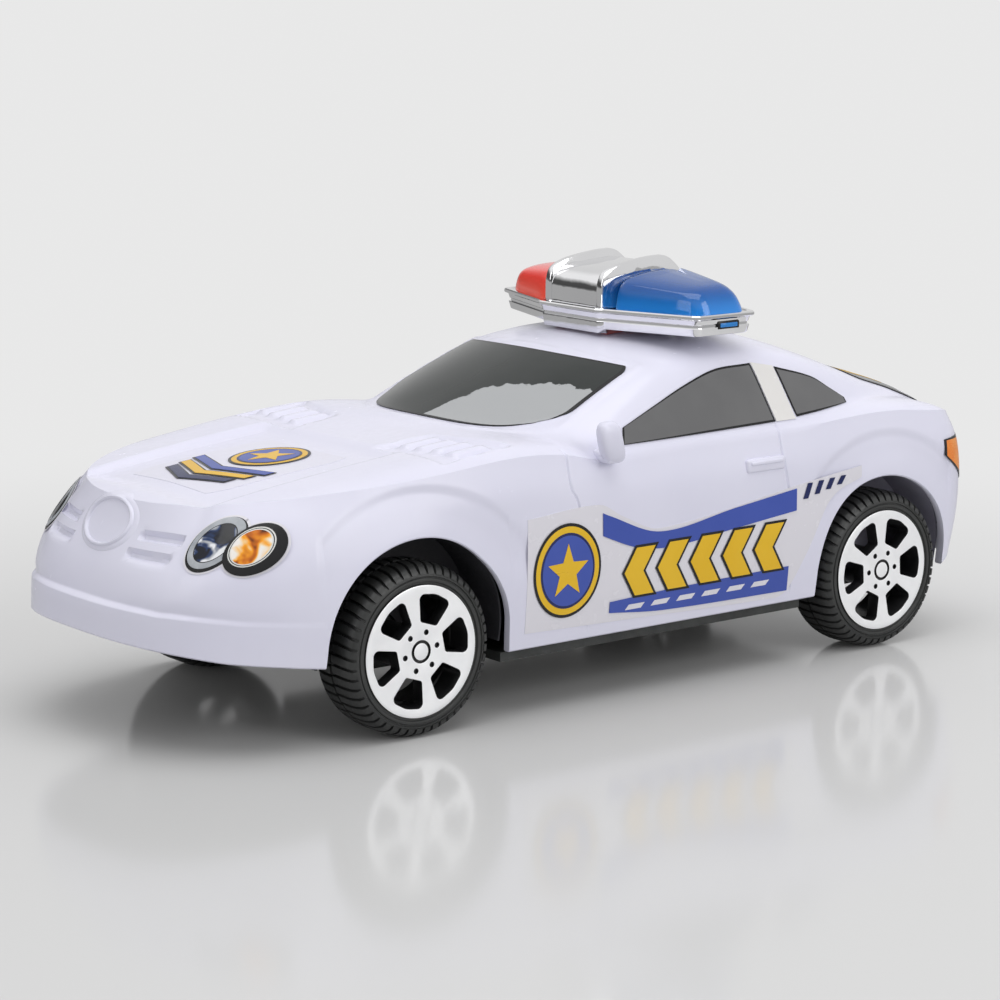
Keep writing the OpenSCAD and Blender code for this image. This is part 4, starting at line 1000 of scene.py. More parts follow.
def makeSideWindow(side):  # ends run from low to high corners, edges from front to rear
    look = {"door": {"cells": (44, 18), "narrow": (0.01, 0.035), "ends": ((-0.8, -44.7), (-2.4, -43.1)),
                     "low": (53.9, 54.6), "top": [(-44.7, 67.1), (-43.1, 66.9), (-32.2, 66.5), (-22, 64.0),
                                                  (-11.9, 60.6), (-2.4, 57.2)]},
            "strip": {"cells": (6, 18), "narrow": (0.06, 0.03), "ends": ((-45.0, -51.0), (-43.4, -49.6)),
                      "low": (54.6, 54.6), "top": [(-49.6, 65.8), (-43.4, 67.0)]},
            "quarter": {"cells": (24, 14), "narrow": (0.02, 0.045), "ends": ((-51.5, -69.3), (-50, -69.3)),
                        "low": (55.0, 56.2), "top": [(-69.5, 57.1), (-65.2, 59.7), (-60.3, 62.6), (-50, 65.6),
                                                      (-49, 65.9)]}}
    name = sideNames[side]

    def film(key, title, inks):
        shape = look[key]
        u, v = lattice(*(edged(n, share) for n, share in zip(shape["cells"], shape["narrow"])))
        x = mix(*(mix(*ends, u) for ends in shape["ends"]), v)
        low = mix(*shape["low"], u)
        z = mix(low, np.maximum(curve(x, shape["top"]), low + 0.5), v)
        table = sided(np.stack([x, cabinY(x, z), z], -1), side)
        marks = borderMarks(*shape["cells"]) if len(inks) > 1 else None
        return skinSheet(title + name, table, sheet["lift"], sheet["side"], inks, marks)

    door = film("door", "doorWindow", ["windowGrey", "inkBlack"])
    strip = film("strip", "pillarStrip", ["paperCream"])
    finishSticker(joinAll([door, strip], f"doorWindow{name}"), "grey_sticker", f"door_window_sticker_{name.lower()}")
    quarter = film("quarter", "quarterWindow", ["windowGrey", "inkBlack"])
    finishSticker(quarter, "grey_sticker", f"quarter_window_sticker_{name.lower()}")


makeWindscreen()
makeRearWindow()
for side in (1, -1):
    makeSideWindow(side)
print("window films made")


# side stripe, bonnet print and lamps, in plain shapes
def sideBand(name, shape, side, lift, ink, thick=sheet["ink"]):
    u, v = lattice(*(np.linspace(0, 1, n + 1) for n in shape["cells"]))
    x = mix(*shape["span"], u)
    z = mix(curve(x, shape["low"]), curve(x, shape["high"]), v)
    return skinSheet(name, sided(wallPoint(x, z), side), lift, thick, [ink])


def slantBlock(x, z, wideBy, tall, lean, side, lift, ink):
    u, v = lattice(np.linspace(0, 1, 7), np.linspace(0, 1, 5))
    xs = x + mix(-0.5, 0.5, u) * wideBy + (v - 0.5) * lean
    return skinSheet("block", sided(wallPoint(xs, z + mix(-0.5, 0.5, v) * tall), side), lift, sheet["ink"], [ink])


def arrowHead(x, z, half, thick, pad, side, lift, ink):  # points forward
    look = {"sweep": 0.62, "rim": 1.2, "across": 20, "along": 3}
    u, v = lattice(np.linspace(-1, 1, look["across"] + 1), np.linspace(0, 1, look["along"] + 1))
    rim = look["rim"] * pad
    xs = x - np.abs(u) * (half + pad) * look["sweep"] + mix(-thick - rim, rim, v)
    return skinSheet("arrow", sided(wallPoint(xs, z + u * (half + pad)), side), lift, sheet["ink"], [ink])


def starRadius(a, inner):  # plain five-pointed star
    step = 2 * math.pi / 5
    d = np.abs((a - math.pi / 2 + step / 2) % step - step / 2)
    k = inner * math.sin(step / 2)
    h = inner * math.cos(step / 2)
    return k / (k * np.cos(d) + (1 - h) * np.sin(d))


def discOn(name, place, at, radii, lift, ink, shape=np.ones_like, rings=7, sectors=60):
    a = np.linspace(0, 2 * math.pi, sectors + 1)
    reach = np.linspace(0.001, 1, rings + 1)[:, None] * shape(a)
    table = place(at[0] + radii[0] * reach * np.cos(a), at[1] + radii[1] * reach * np.sin(a))
    obj = skinSheet(name, table, lift, sheet["ink"], [ink])
    mergeDoubles(obj, 1e-7, outward=False)
    return obj


def roundel(place, look, turn):  # rings under a plain star
    bits = []
    for r, ink in look["rings"]:
        lift = look["lift"] + 0.05 * (look["outer"] - r)
        bits.append(discOn("roundel", place, look["at"], [r * share for share in look["stretch"]], lift, ink))
    shape = lambda a: starRadius(a + turn, 0.42)
    bits.append(discOn("star", place, look["starAt"], look["star"], look["starLift"], "inkYellow", shape, 5))
    return bits


def makeLivery(side):
    look = {"top": 0.2, "paperLift": -0.03, "paperThick": 0.12,
            "paper": {"span": (27.5, -68), "cells": (90, 18),
                      "high": [(-68.2, 42.9), (-50, 40.8), (-8.4, 35.8), (2, 39.6), (8.1, 42.7), (27.5, 41.8)],
                      "low": [(-68.2, 40.4), (-58.3, 36.1), (-52, 25.2), (-46.2, 16.8), (-40, 15.8), (1.6, 16.9),
                              (27.5, 17.6)]},
            "upper": {"span": (7.5, -48), "cells": (60, 5),
                      "high": [(-48, 39.9), (-30, 37.7), (-8.4, 35.1), (6, 40.2), (9, 41.6)],
                      "low": [(-48, 35.0), (-30, 33.2), (-12, 31.4), (-2, 32.4), (9, 36.6)]},
            "lower": {"span": (5, -46.4), "cells": (48, 3),
                      "high": [(-47, 22.6), (-30, 22.4), (-10, 22.0), (5, 21.4)],
                      "low": [(-47, 17.0), (-10, 17.6), (5, 19.0)]},
            "arrows": {"count": 5, "first": (1.5, 27.2), "step": (-9.3, 0.12), "half": 5.2, "thick": 5.2,
                       "coats": [(0.55, 0.05, "inkBlack"), (0.0, 0.11, "inkYellow")]},
            "dashes": {"count": 6, "first": (-2, 19.6, 1.1), "step": (-7.2, 0.03, 0), "wide": 4.4, "lean": -1.0,
                       "lift": 0.06, "ink": "paperPale"},
            "bars": {"count": 4, "first": (-51.4, 39.0, 3.4), "step": (-3.4, 0.45, -0.5), "wide": 1.5, "lean": -1.4,
                     "lift": 0, "ink": "inkNavy"},
            "roundel": {"at": (17.0, 29.8), "stretch": (1, 1.12), "lift": 0.2, "outer": 9.2, "starAt": (17.0, 29.6),
                        "star": (5.6, 6.0), "starLift": 0.4,
                        "rings": [(9.0, "inkBlack"), (8.4, "inkYellow"), (7.2, "inkNavy"), (6.7, "inkBlue")]}}
    name, top, arrows = sideNames[side], look["top"], look["arrows"]
    bits = [sideBand("paper", look["paper"], side, look["paperLift"], "paperPale", look["paperThick"])]
    bits += [sideBand(key, look[key], side, top, "inkBlue") for key in ("upper", "lower")]
    for i in range(arrows["count"]):  # forward arrowheads with a dark rim
        for pad, lift, ink in arrows["coats"]:
            bits.append(arrowHead(*inRow(arrows, i), arrows["half"], arrows["thick"], pad, side, top + lift, ink))
    for row in (look["dashes"], look["bars"]):  # along the lower edge and at the tapered end
        for i in range(row["count"]):
            x, z, tall = inRow(row, i)
            bits.append(slantBlock(x, z, row["wide"], tall, row["lean"], side, top + row["lift"], row["ink"]))
    bits += roundel(lambda x, z: sided(wallPoint(x, z), side), look["roundel"], 0)
    finishSticker(joinAll(bits, f"sideStripe{name}"), "print_sticker", f"livery_sticker_{name.lower()}")


def makeBonnetPrint():
    look = {"x": (51.8, 86.2), "half": 15.5, "cells": 44, "lift": -0.03, "thick": 0.10, "taper": 0.10, "end": 0.2,
            "roundel": {"at": (61.5, 0.0), "stretch": (1.08, 1), "lift": 0.2, "outer": 8.3, "starAt": (61.5, 0.0),
                        "star": (5.4, 5.0), "starLift": 0.37,
                        "rings": [(8.2, "inkBlack"), (7.6, "inkYellow"), (6.5, "inkNavy"), (6.0, "inkBlue")]},
            "chevrons": [(73.4, 13.2, "inkBlue"), (77.6, 12.0, "inkYellow"), (81.6, 10.8, "inkNavy")],
            "sweep": 4.2, "wide": 2.3, "rim": 0.45, "rimLift": 0.2, "inkLift": 0.26}
    u, v = lattice(*[np.linspace(0, 1, look["cells"] + 1)] * 2)
    taper = sum(np.clip(1 - t / look["end"], 0, 1) ** 2 for t in (v, 1 - v)) * look["taper"]
    y = mix(-look["half"], look["half"], u) * (1 - taper)
    bits = [skinSheet("paper", onTop(mix(*look["x"], v), y), look["lift"], look["thick"], ["paperClear"])]
    bits += roundel(onTop, look["roundel"], math.pi / 2)
    u, v = lattice(np.linspace(-1, 1, 41), np.linspace(0, 1, 4))
    for x, reach, ink in look["chevrons"]:
        for pad, lift, tone in ((look["rim"], look["rimLift"], "inkBlack"), (0.0, look["inkLift"], ink)):
            xs = x - np.abs(u) * look["sweep"] + mix(-pad, look["wide"] + pad, v)
            bits.append(skinSheet("chevron", onTop(xs, u * (reach + pad)), lift, sheet["ink"], [tone]))
    finishSticker(joinAll(bits, "bonnetPrint"), "print_sticker", "bonnet_sticker")


def lensPaint(name, stops, scale):  # marbled print of a faceted lens
    mat = makeMaterial(name, stops[0][1], stops[1][1], (0.08, 0.16), coat=0.1, level=0.3)
    tree = mat.node_tree
    cloud = addNode(tree, "TexNoise", {"Scale": scale, "Detail": 2, "Distortion": 0.9})
    ramp = rampNode(tree, stops)
    wire(tree, (addNode(tree, "TexCoord").outputs["Object"], cloud.inputs["Vector"]),
         (cloud.outputs[0], ramp.inputs[0]), (ramp.outputs[0], tree.nodes["Principled BSDF"].inputs["Base Color"]))
    paints[name] = mat


lensPaint("lensBlue", [(0.36, (0.002, 0.003, 0.005)), (0.49, (0.006, 0.008, 0.018)), (0.53, (0.020, 0.045, 0.13)),
                       (0.58, (0.34, 0.36, 0.40)), (0.64, (0.80, 0.81, 0.84))], 200)
lensPaint("lensAmber", [(0.36, (0.08, 0.015, 0.002)), (0.43, (0.58, 0.14, 0.006)), (0.50, (0.90, 0.36, 0.02)),
                        (0.55, (0.90, 0.62, 0.30)), (0.62, (0.86, 0.82, 0.78))], 200)


def makeHeadlight(side):
    look = {"inner": ((29.47, 42.5), (1.98, 4.37), (-3.57, 2.41)),
            "outer": ((35.23, 41.79), (2.05, 3.2), (-2.93, 3.47)), "sectors": 72, "slip": 0.0 if side > 0 else -2.5}
    name = sideNames[side]
    a = np.linspace(0, 2 * math.pi, look["sectors"] + 1)

    def lamp(key, rings, lift, thick, inks, marks, shift=(0.0, 0.0)):
        c, p, q = look[key]
        r = np.array(rings)[:, None]
        y = c[0] + look["slip"] + shift[0] + r * (np.cos(a) * p[0] + np.sin(a) * q[0])
        z = c[1] + shift[1] + r * (np.cos(a) * p[1] + np.sin(a) * q[1])
        table = sided(nosePoint(y, z), side)
        grid = np.repeat(np.array(marks)[:, None], look["sectors"], 1)
        obj = skinSheet(key, table, lift, thick, inks, grid)
        mergeDoubles(obj, 1e-7, outward=False)
        return obj

    paper, ring = [0.002, 0.3, 0.6, 0.9, 1.07], [0.002, 0.35, 0.7, 1.0]
    blue, amber = [0.002, 0.25, 0.5, 0.68, 0.71, 0.93], [0.002, 0.35, 0.65, 0.69, 0.72, 0.76]
    bits = [lamp("inner", paper, 0.03, 0.06, ["paperPale"], [0] * 4),
            lamp("outer", paper, 0.05, 0.06, ["paperPale"], [0] * 4),
            lamp("inner", ring, 0.12, 0.04, ["inkBlack"], [0] * 3),
            lamp("inner", blue, 0.18, 0.04, ["lensBlue", "inkBlack", "inkSilver"], [0, 0, 0, 1, 2], (-0.12, 0.30)),
            lamp("outer", ring, 0.26, 0.04, ["inkBlack"], [0] * 3),
            lamp("outer", amber, 0.32, 0.04, ["lensAmber", "inkPearl", "inkBlack"], [0, 0, 1, 2, 1], (-0.40, 0.45))]
    finishSticker(joinAll(bits, f"headlight{name}"), "lamp_sticker", f"headlight_sticker_{name.lower()}")


def makeTailLamp(side):
    look = {"x": (xRear - 19.8, xTail + 4.5), "low": (-6, -13), "high": (-2.4, -2.0), "cells": 18, "narrow": 0.08}
    name = sideNames[side]
    u, v = lattice(*[edged(look["cells"], look["narrow"])] * 2)
    z = tailZ + mix(mix(*look["low"], u), mix(*look["high"], u), v)
    table = sided(wallPoint(mix(*look["x"], u), z), side)
    marks = borderMarks(look["cells"], look["cells"])
    obj = skinSheet(f"tailLamp{name}", table, sheet["lift"], sheet["side"], ["inkOrange", "inkBlack"], marks)
    finishSticker(obj, "amber_sticker", f"tail_lamp_sticker_{name.lower()}")


makeBonnetPrint()
for side in (1, -1):
    makeLivery(side)
    makeHeadlight(side)
    makeTailLamp(side)
print("prints and lamps made")


# wheels: modelled at the origin facing up, then laid out to each hub
wheel = {"face": halfW - 0.2, "wide": 13.0, "sectors": 96, "openings": 6, "lugs": 50,
         "turn": {"front": 131.5, "rear": 63}}


def lathe(name, profile, sectors):  # profile of radius and height pairs, turned about Z
    a = np.linspace(0, 2 * math.pi, sectors + 1)
    r, z = (np.array(column)[:, None] for column in zip(*profile))
    obj = gridFrom(name, np.stack([r * np.cos(a), r * np.sin(a), z * np.ones_like(a)], -1))
    mergeDoubles(obj, 2e-7)
    return obj


def prism(name, outline, z0, z1):  # a flat outline drawn from a circle, then extruded
    deselectAll()
    bpy.ops.mesh.primitive_circle_add(vertices=len(outline), radius=1, fill_type="NGON", location=(0, 0, 0))
    obj = bpy.context.object
    obj.name = name
    for vertex, (x, y) in zip(obj.data.vertices, outline):
        vertex.co = (x * mm, y * mm, z0 * mm)
    editMode(obj)
    bpy.ops.mesh.select_all(action="SELECT")
    bpy.ops.mesh.extrude_region_move(TRANSFORM_OT_translate={"value": (0, 0, (z1 - z0) * mm)})
    objectMode()
    faceOut(obj)
    return obj


def fillet(points, radii, steps=6):  # rounds the corners of a closed outline
    out = []
    n = len(points)
    for i, p in enumerate(points):
        p = np.array(p, float)
        a, b = np.subtract(points[i - 1], p), np.subtract(points[(i + 1) % n], p)
        a, b = a / np.hypot(*a), b / np.hypot(*b)
        half = math.acos(max(-1, min(1, float(a @ b)))) / 2
        reach = radii[i] / math.tan(half)
        mid = p + (a + b) / np.hypot(*(a + b)) * radii[i] / math.sin(half)
        p0, p1 = p + a * reach - mid, p + b * reach - mid
        t0, t1 = math.atan2(p0[1], p0[0]), math.atan2(p1[1], p1[0])
        sweep = (t1 - t0 + math.pi) % (2 * math.pi) - math.pi
        turns = [t0 + sweep * k / steps for k in range(steps + 1)]
        out += [(mid[0] + radii[i] * math.cos(t), mid[1] + radii[i] * math.sin(t)) for t in turns]
    return out


def cutAway(obj, cutter):
    pick(obj)
    mod = obj.modifiers.new("cut", "BOOLEAN")
    mod.object = cutter
    mod.solver = "EXACT"
    bpy.ops.object.modifier_apply(modifier=mod.name)
    bpy.data.objects.remove(cutter)


def makeRim():
    look = {"profile": [(0, -0.2), (1.75, -0.2), (1.8, -0.75), (2.35, -0.75), (2.4, -0.2), (5.5, -0.2), (11.9, -0.2),
                        (12.4, -0.12), (13.3, -0.12), (13.65, -0.2), (13.75, -0.45), (13.75, -1.3), (12.95, -1.3),
                        (12.95, -12.0), (11.4, -12.0), (11.4, -3.4), (4.6, -3.4), (4.4, -4.0),
                        (4.4, -12.0), (0, -12.0)],
            "opening": [(5.75, -2.1), (11.2, -4.2), (12.05, 0.0), (11.2, 4.2), (5.75, 2.1)],
            "corners": [0.7, 1.2, 5.0, 1.2, 0.7], "through": (-6.0, 2.0), "dotAt": 4.05, "dot": 0.6,
            "dotDepth": (-0.9, 2.0), "bevel": 0.15, "sharp": 50, "upward": 0.55, "faceZ": -0.5}
    rim = lathe("rim", look["profile"], wheel["sectors"])
    opening = fillet(look["opening"], look["corners"])
    steps = [k * math.pi / 8 for k in range(16)]
    dot = [(look["dotAt"] + look["dot"] * math.cos(t), look["dot"] * math.sin(t)) for t in steps]
    cutters = []
    for i in range(wheel["openings"]):
        turn = 2 * math.pi * i / wheel["openings"]
        c, s = math.cos(turn), math.sin(turn)
        for name, shape, depth in (("opening", opening, look["through"]), ("dot", dot, look["dotDepth"])):
            cutters.append(prism(name, [(x * c - y * s, x * s + y * c) for x, y in shape], *depth))
    cutAway(rim, joinAll(cutters, "cutters"))
    addModifier(rim, "BEVEL", width=look["bevel"] * mm, segments=2, limit_method="ANGLE",
                angle_limit=math.radians(look["sharp"]))
    rim.data.materials.append(paints["wheelBlack"])
    rim.data.materials.append(paints["wheelSilver"])
    for face in rim.data.polygons:  # only the stamped face is silver
        face.material_index = int(face.normal.z > look["upward"] and face.center.z > look["faceZ"] * mm)
    smooth(rim, 40)
    return rim


def makeTyre():
    look = {"side": [(13.0, -1.35), (13.8, -1.32), (13.82, -0.5), (14.05, -0.45), (14.2, -0.45), (14.4, -0.1),
                     (14.7, -0.03), (15.0, -0.1), (15.15, -0.35), (15.35, -0.35), (15.5, -0.06), (15.9, -0.15),
                     (16.3, -0.65), (16.65, -1.3), (17.0, -2.2), (17.15, -3.2)],
            "lug": [(15.9, -0.02), (16.5, -0.2), (17.0, -0.6), (17.4, -1.2), (17.75, -2.1), (17.95, -3.6),
                    (17.95, -6.2)],
            "under": [(15.75, -0.35), (16.15, -0.75), (16.5, -1.2), (16.8, -1.8), (17.0, -2.6), (17.1, -3.9),
                      (17.1, -6.2)],
            "shares": (-0.39, -0.34, 0.34, 0.39), "flare": 1.05, "skew": 0.35, "root": 0.942}
    wide, side = wheel["wide"], look["side"]
    profile = side + [(side[-1][0], -wide - side[-1][1])] + [(a, -wide - b) for a, b in side[::-1][1:]]
    bits = [lathe("tyre", profile + [profile[0]], wheel["sectors"])]
    for half in (0, 1):
        for i in range(wheel["lugs"]):
            table = []
            for k, share in enumerate(look["shares"]):
                ring = []
                for n, (radius, z) in enumerate(look["under" if k in (0, 3) else "lug"]):
                    lean = look["skew"] * max(0, n - 2) / 4 * (1 if half else -1)
                    flare = look["flare"] if n < 2 else 1
                    a = (i + 0.5 * half + share * flare + lean) * 2 * math.pi / wheel["lugs"]
                    ring.append((radius * math.cos(a), radius * math.sin(a), -wide - z if half else z))
                table.append(ring)
            table = np.array(table)
            end = table[:, -1:] * np.array([look["root"], look["root"], 1])
            bits.append(gridFrom("lug", np.concatenate([table, end], 1)))
    tyre = joinAll(bits, "tyre")
    faceOut(tyre)
    tyre.data.materials.append(paints["tyreRubber"])
    smooth(tyre, 35)
    return tyre


def makeHousing(end, side):  # lining of a wheel arch
    look = {"reach": archR + 0.8, "inner": 29.6, "edge": 0.7, "sweep": (-8, 188, 61), "hub": 4.0, "thick": 0.4}
    xa, zc = (xFront if end == "front" else xRear), axleZ + archLift[end]
    a = np.radians(np.linspace(*look["sweep"]))[:, None]
    x, z = xa + look["reach"] * np.cos(a), zc + look["reach"] * np.sin(a)
    edge = sideY(x, np.clip(wallT(x, z), 0, 1), car["wall"] + look["edge"])
    depth = np.linspace(0, 1, 7)[None, :]
    roof = np.stack([x + 0 * depth, mix(edge, look["inner"], depth), z + 0 * depth], -1)
    r = np.linspace(look["reach"], look["hub"], 8)[None, 1:]
    wall = np.stack([xa + r * np.cos(a), look["inner"] + 0 * (r + a), zc + r * np.sin(a)], -1)
    obj = gridFrom(f"wheelHousing_{end}_{sideNames[side].lower()}", sided(np.concatenate([roof, wall], 1), side))
    addModifier(obj, "SOLIDIFY", thickness=look["thick"] * mm, offset=0.0)
    mergeDoubles(obj, 1e-7)
    smooth(obj, 40)
    # front linings painted near-black and rear ones lavender-grey: painted shade of the white plastic, lighter at the
    # rear
    return finishPiece(obj, paints["shellInPaintedShade" if end == "front" else "shellInPaintedHalfShade"], "car", "black_chassis")


def layWheel(source, name, end, side, node):
    obj = copyPiece(source, name)
    x = xFront if end == "front" else xRear
    turn = Matrix.Rotation(math.radians(wheel["turn"][end]), 4, "Z")
    out = Matrix.Rotation(math.radians(-90 * side), 4, "X")
    flip = Matrix.Rotation(math.radians(180 if side > 0 else 0), 4, "Z")
    obj.data.transform(Matrix.Translation((x * mm, side * wheel["face"] * mm, axleZ * mm)) @ out @ flip @ turn)
    obj.data.update()
    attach(obj, f"{end}_wheels")
    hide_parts(node)
    return obj


rimSource, tyreSource = makeRim(), makeTyre()
for end in ("front", "rear"):
    for side, word in ((1, "left"), (-1, "right")):
        layWheel(rimSource, f"rim_{end}_{word}_fine", end, side, f"rim_{end}_{word}")
        layWheel(tyreSource, f"tyre_{end}_{word}_fine", end, side, f"tyre_{end}_{word}")
        makeHousing(end, side)
for source in (rimSource, tyreSource):
    print(source.name, len(source.data.polygons))
    bpy.data.objects.remove(source)


# light bar on the roof
bar = {"x": screenTopX - 28, "z": roofZ + 0.8, "high": 4.8, "len": 67, "mid": 31, "end": 16, "midY": 11, "step": 1.0,
       "cover": 10.6, "dip": 1.7, "coverY": 7.9, "flangeY": 9.9, "sink": 0.4,
       "corners": (0.5, 0.5, 0.9, 2.2, 2.2, 0.9) * 2,
       "arch": [(1, 0), (1, 0.3), (0.99, 0.5), (0.95, 0.66), (0.87, 0.76), (0.76, 0.83), (0.6, 0.89), (0.22, 0.97),
                (-0.1, 1), (-0.24, 0.97), (-0.37, 0.86), (-0.52, 0.66), (-0.68, 0.4), (-0.85, 0.1), (-0.9, 0)],
       "dome": [(0, 1, 1, 1), (0.25, 0.98, 0.94, 0.985), (0.5, 0.94, 0.85, 0.96), (0.66, 0.88, 0.77, 0.935),
                (0.78, 0.78, 0.69, 0.9), (0.88, 0.58, 0.6, 0.85), (0.95, 0.3, 0.5, 0.78), (0.99, -0.05, 0.4, 0.66)]}
lens = {"gap": 0.3, "end": 0.4, "drops": (2.6, 5.2), "square": 0.34, "collar": 0.6, "collarWide": 1.9, "soft": 0.5,
        "inset": 1, "sink": 0.3, "thick": 1.1, "rows": 25}
barTop = bar["z"] + bar["high"]


def barOutline(grow, steps=6):  # swept wings on a wider middle
    m, e, y0, y1 = bar["mid"] / 2, bar["end"] / 2, bar["midY"], bar["len"] / 2
    b, yb = m + bar["step"], y0 - 1.5 * bar["step"]
    half = [(b, -yb), (b, yb), (m, y0), (e, y1), (-e, y1), (-m, y0)]
    corners = half + [(-x, -y) for x, y in half]
    moved = []
    for i, p in enumerate(corners):
        edges = []
        for start, end in ((corners[i - 1], p), (p, corners[(i + 1) % len(corners)])):
            d = np.subtract(end, start) / np.hypot(*np.subtract(end, start))
            out = np.array([d[1], -d[0]])
            edges.append((out, float(out @ np.array(start)) + grow))
        moved.append(tuple(np.linalg.solve(*(np.array(column) for column in zip(*edges)))))
    return [(x + bar["x"], y) for x, y in fillet(moved, bar["corners"], steps)]


def loft(name, loops, closeFirst=True, closeLast=True):  # closed loops of points in mm, all of one length
    table = np.array([list(l) + [l[0]] for l in loops])
    if closeFirst:
        table = np.concatenate([np.broadcast_to(table[0].mean(0), table[:1].shape), table])
    if closeLast:
        table = np.concatenate([table, np.broadcast_to(table[-1].mean(0), table[:1].shape)])
    obj = gridFrom(name, table)
    mergeDoubles(obj, 2e-7)
    return obj


def makeBarBase():
    look = {"rows": [(-1.4, 0.0), (-0.75, 0.0), (-0.52, 0.12), (-0.42, 0.35), (-0.08, 1.75), (-0.12, 1.85),
                     (-0.5, 1.95), (-0.5, 2.45), (-0.3, 2.55), (-0.24, 2.65), (0.0, 3.5), (0.15, 3.68), (0.6, 3.8),
                     (0.8, 4.0), (0.8, 4.5), (0.6, 4.75), (0.2, 4.8), (-0.5, 4.78), (-0.7, 4.5),
                     (-1.0, 4.3), (-4.0, 4.3)],
            "drop": 0.9, "from": 8, "run": 5, "side": 0.6}
    z = bar["z"]

    def drop(x, y, h):  # the middle block reaches lower at the front
        ahead = float(ease((x - bar["x"] - look["from"]) / look["run"]))
        return look["drop"] * ahead * (abs(y) < bar["midY"] - look["side"]) * (h < 1)

    obj = loft("lightBarBase", [[(x, y, z + h - drop(x, y, h)) for x, y in barOutline(g)] for g, h in look["rows"]])
    smooth(obj, 35)
    return finishPiece(obj, paints["chrome"], "car", "chrome_plate", "light_bar_base")


def archLoop(y, half, high, n=72):
    t = np.linspace(0, len(bar["arch"]) - 1, n)
    x, z = (curve(t, list(enumerate(column))) for column in zip(*bar["arch"]))
    return [(bar["x"] + half * px, y, barTop - bar["sink"] + (high + bar["sink"]) * pz) for px, pz in zip(x, z)]


def barDepth(y):
    share = (np.abs(y) - bar["midY"]) / (bar["len"] / 2 - bar["midY"])
    return mix(bar["mid"] / 2, bar["end"] / 2, np.clip(share, 0, 1))


def makeBarCover():
    mid, wing = bar["mid"] / 2 - 0.2, bar["mid"] / 2
    f, c, h = bar["flangeY"], bar["coverY"], bar["cover"]
    rows = [(f, wing - 0.5, h - 0.5), (f - 0.1, wing - 0.12, h - 0.12), (f - 0.35, wing, h), (f - 1.2, wing, h),
            (c + 0.55, wing, h), (c + 0.25, wing - 0.1, h - 0.12), (c + 0.1, wing - 0.25, h - 0.5),
            (c, mid - 0.12, h - bar["dip"] - 0.1), (c - 0.5, mid, h - bar["dip"]), (c - 4, mid, h - bar["dip"])]
    rows = rows + [(-y, a, b) for y, a, b in rows[::-1]]
    obj = loft("lightBarCover", [archLoop(*r) for r in rows])
    smooth(obj, 35)
    return finishPiece(obj, paints["chrome"], "car", "chrome_plate", "light_bar_cover")


def domeLoop(side, row, shrink, n=96):
    y0, y1 = bar["flangeY"] + lens["gap"], bar["len"] / 2 - lens["end"]
    h0, h1 = (bar["cover"] - drop for drop in lens["drops"])
    lift, ahead, behind, long = (float(curve(row, list(enumerate(column)))) for column in zip(*bar["dome"]))
    middle, half = (y0 + y1) / 2, (y1 - y0) / 2 - shrink
    loop = []
    for i in range(n):
        t = 2 * math.pi * i / n
        cx, cy = (math.copysign(abs(v) ** lens["square"], v) for v in (math.cos(t), math.sin(t)))
        y = middle - half + half * (1 + cy) * long
        collar = lens["collar"] * (1 - float(ease((y - y0 - lens["collarWide"]) / lens["soft"] + 0.5)))
        high = mix(h0, h1, (y - y0) / (y1 - y0)) - collar - shrink
        share = (ahead - behind + cx * (ahead + behind)) / 2
        reach = float(barDepth(y)) - lens["inset"] - collar - shrink
        loop.append((bar["x"] + share * reach, side * y, barTop - lens["sink"] + (high + lens["sink"]) * lift))
    return loop


def makeDome(name, side, paint, slotName, node):
    rows = np.linspace(0, len(bar["dome"]) - 1, lens["rows"])
    outer, inner = ([domeLoop(side, r, shrink) for r in rows] for shrink in (0, lens["thick"]))
    obj = loft(name, inner[::-1] + outer)
    smooth(obj, 40)
    return finishPiece(obj, paints[paint], "car", slotName, node)


def makeDomeRibs(side):  # reflector ribs seen through the lens
    look = {"count": 4, "first": (16.5, 3.6, 1.6), "step": (3.9, -0.45, -0.2), "long": 1.24, "thick": 0.9,
            "bevel": 0.25}
    bits = []
    for i in range(look["count"]):
        y, tall, up = inRow(look, i)
        size = (float(barDepth(y)) * look["long"], look["thick"], tall)
        bits.append(roundedBox("rib", size, (bar["x"], side * y, barTop + up), look["bevel"], 2))
    obj = joinAll(bits, f"domeRibs{sideNames[side]}")
    smooth(obj, 40)
    return finishPiece(obj, paints["chrome"], "car", "chrome_plate")


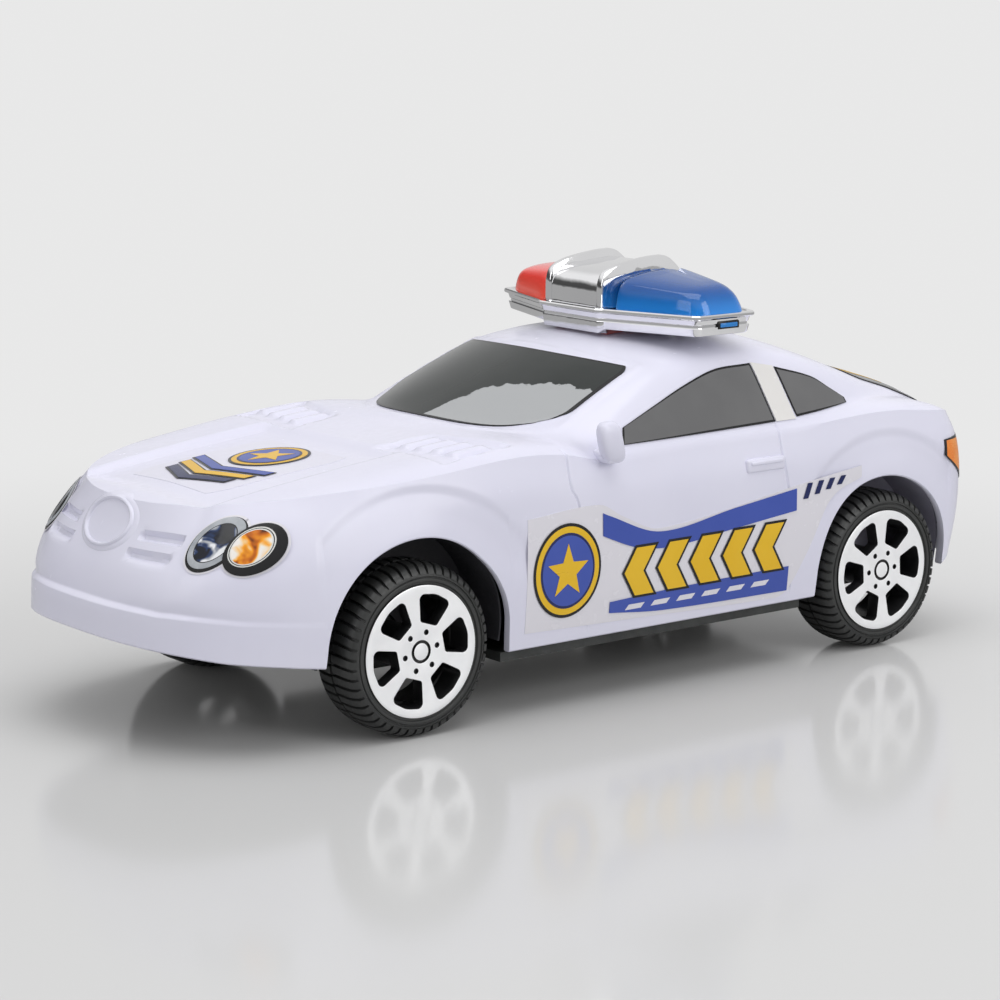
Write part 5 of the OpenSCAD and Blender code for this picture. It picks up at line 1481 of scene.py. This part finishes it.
def makeBarTab():  # slot in the left end, a black box of painted shade, with the tip of the blue lens in it
    look = {"x": -36.7, "up": 2.2, "bevel": 0.2, "paintedShadeSlot": ((6.2, 0.5, 1.7), 0.2, "inkBlack", "chrome_plate"),
            "barTab": ((5.0, 0.5, 1.0), 0.05, "blueLens", "blue_lens")}
    for name in ("paintedShadeSlot", "barTab"):
        size, sink, paint, slotName = look[name]
        place = (look["x"], bar["len"] / 2 - sink, bar["z"] + look["up"])
        obj = roundedBox(name, size, place, look["bevel"], 2)
        smooth(obj, 40)
        finishPiece(obj, paints[paint], "car", slotName)


def makeBarFoot():
    look = {"x": (-0.32, 0.42), "half": 9, "cells": (24, 18), "lift": 0.05, "thick": 0.6, "above": 0.3,
            "overlap": 0.02}
    nx, ny = look["cells"]
    xs = np.linspace(*look["x"], nx + 1) * bar["mid"] + bar["x"]
    x, y = lattice(xs, np.linspace(-look["half"], look["half"], ny + 1))
    obj = gridFrom("lightBarFoot", (onTop(x, y) + np.array([0, 0, look["lift"]])).transpose(1, 0, 2))
    editMode(obj)
    bpy.ops.mesh.select_all(action="SELECT")
    bpy.ops.mesh.extrude_region_move(TRANSFORM_OT_translate={"value": (0, 0, look["thick"] * mm)})
    objectMode()
    for vertex in obj.data.vertices:  # level top under the base
        if vertex.co.z > (topZ(vertex.co.x / mm, vertex.co.y / mm) + look["above"]) * mm:
            vertex.co.z = (bar["z"] + look["overlap"]) * mm
    mergeDoubles(obj, 1e-8)
    smooth(obj, 40)
    return finishPiece(obj, paints["redPad"], "car", "red_lens", "light_bar_foot")


makeBarBase()
makeBarCover()
makeDome("redDome", -1, "redLens", "red_lens", "red_dome")
makeDome("blueDome", 1, "blueLens", "blue_lens", "blue_dome")
for side in (1, -1):
    makeDomeRibs(side)
makeBarTab()
makeBarFoot()
print("light bar made")


# finish of the solids that stay as they are
finishes = {"chassis": "blackPlastic", "flywheel": "darkSteel", "front_axle": "steel", "rear_axle": "steel",
            "idler_pin": "steel", "flywheel_shaft": "steel", "shell_screws": "steel", "motor_screws": "steel",
            "bar_screws": "steel", "motor_case_left": "greyCase", "motor_case_right": "greyCase",
            "motor_plate": "greyCase", "axle_gear": "whiteGear", "idler_gear": "whiteGear"}
for node, paint in finishes.items():
    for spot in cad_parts[node].material_slots:
        spot.material = paints[paint]
print("solids finished", len(finishes))

scene.view_settings.view_transform = "Standard"
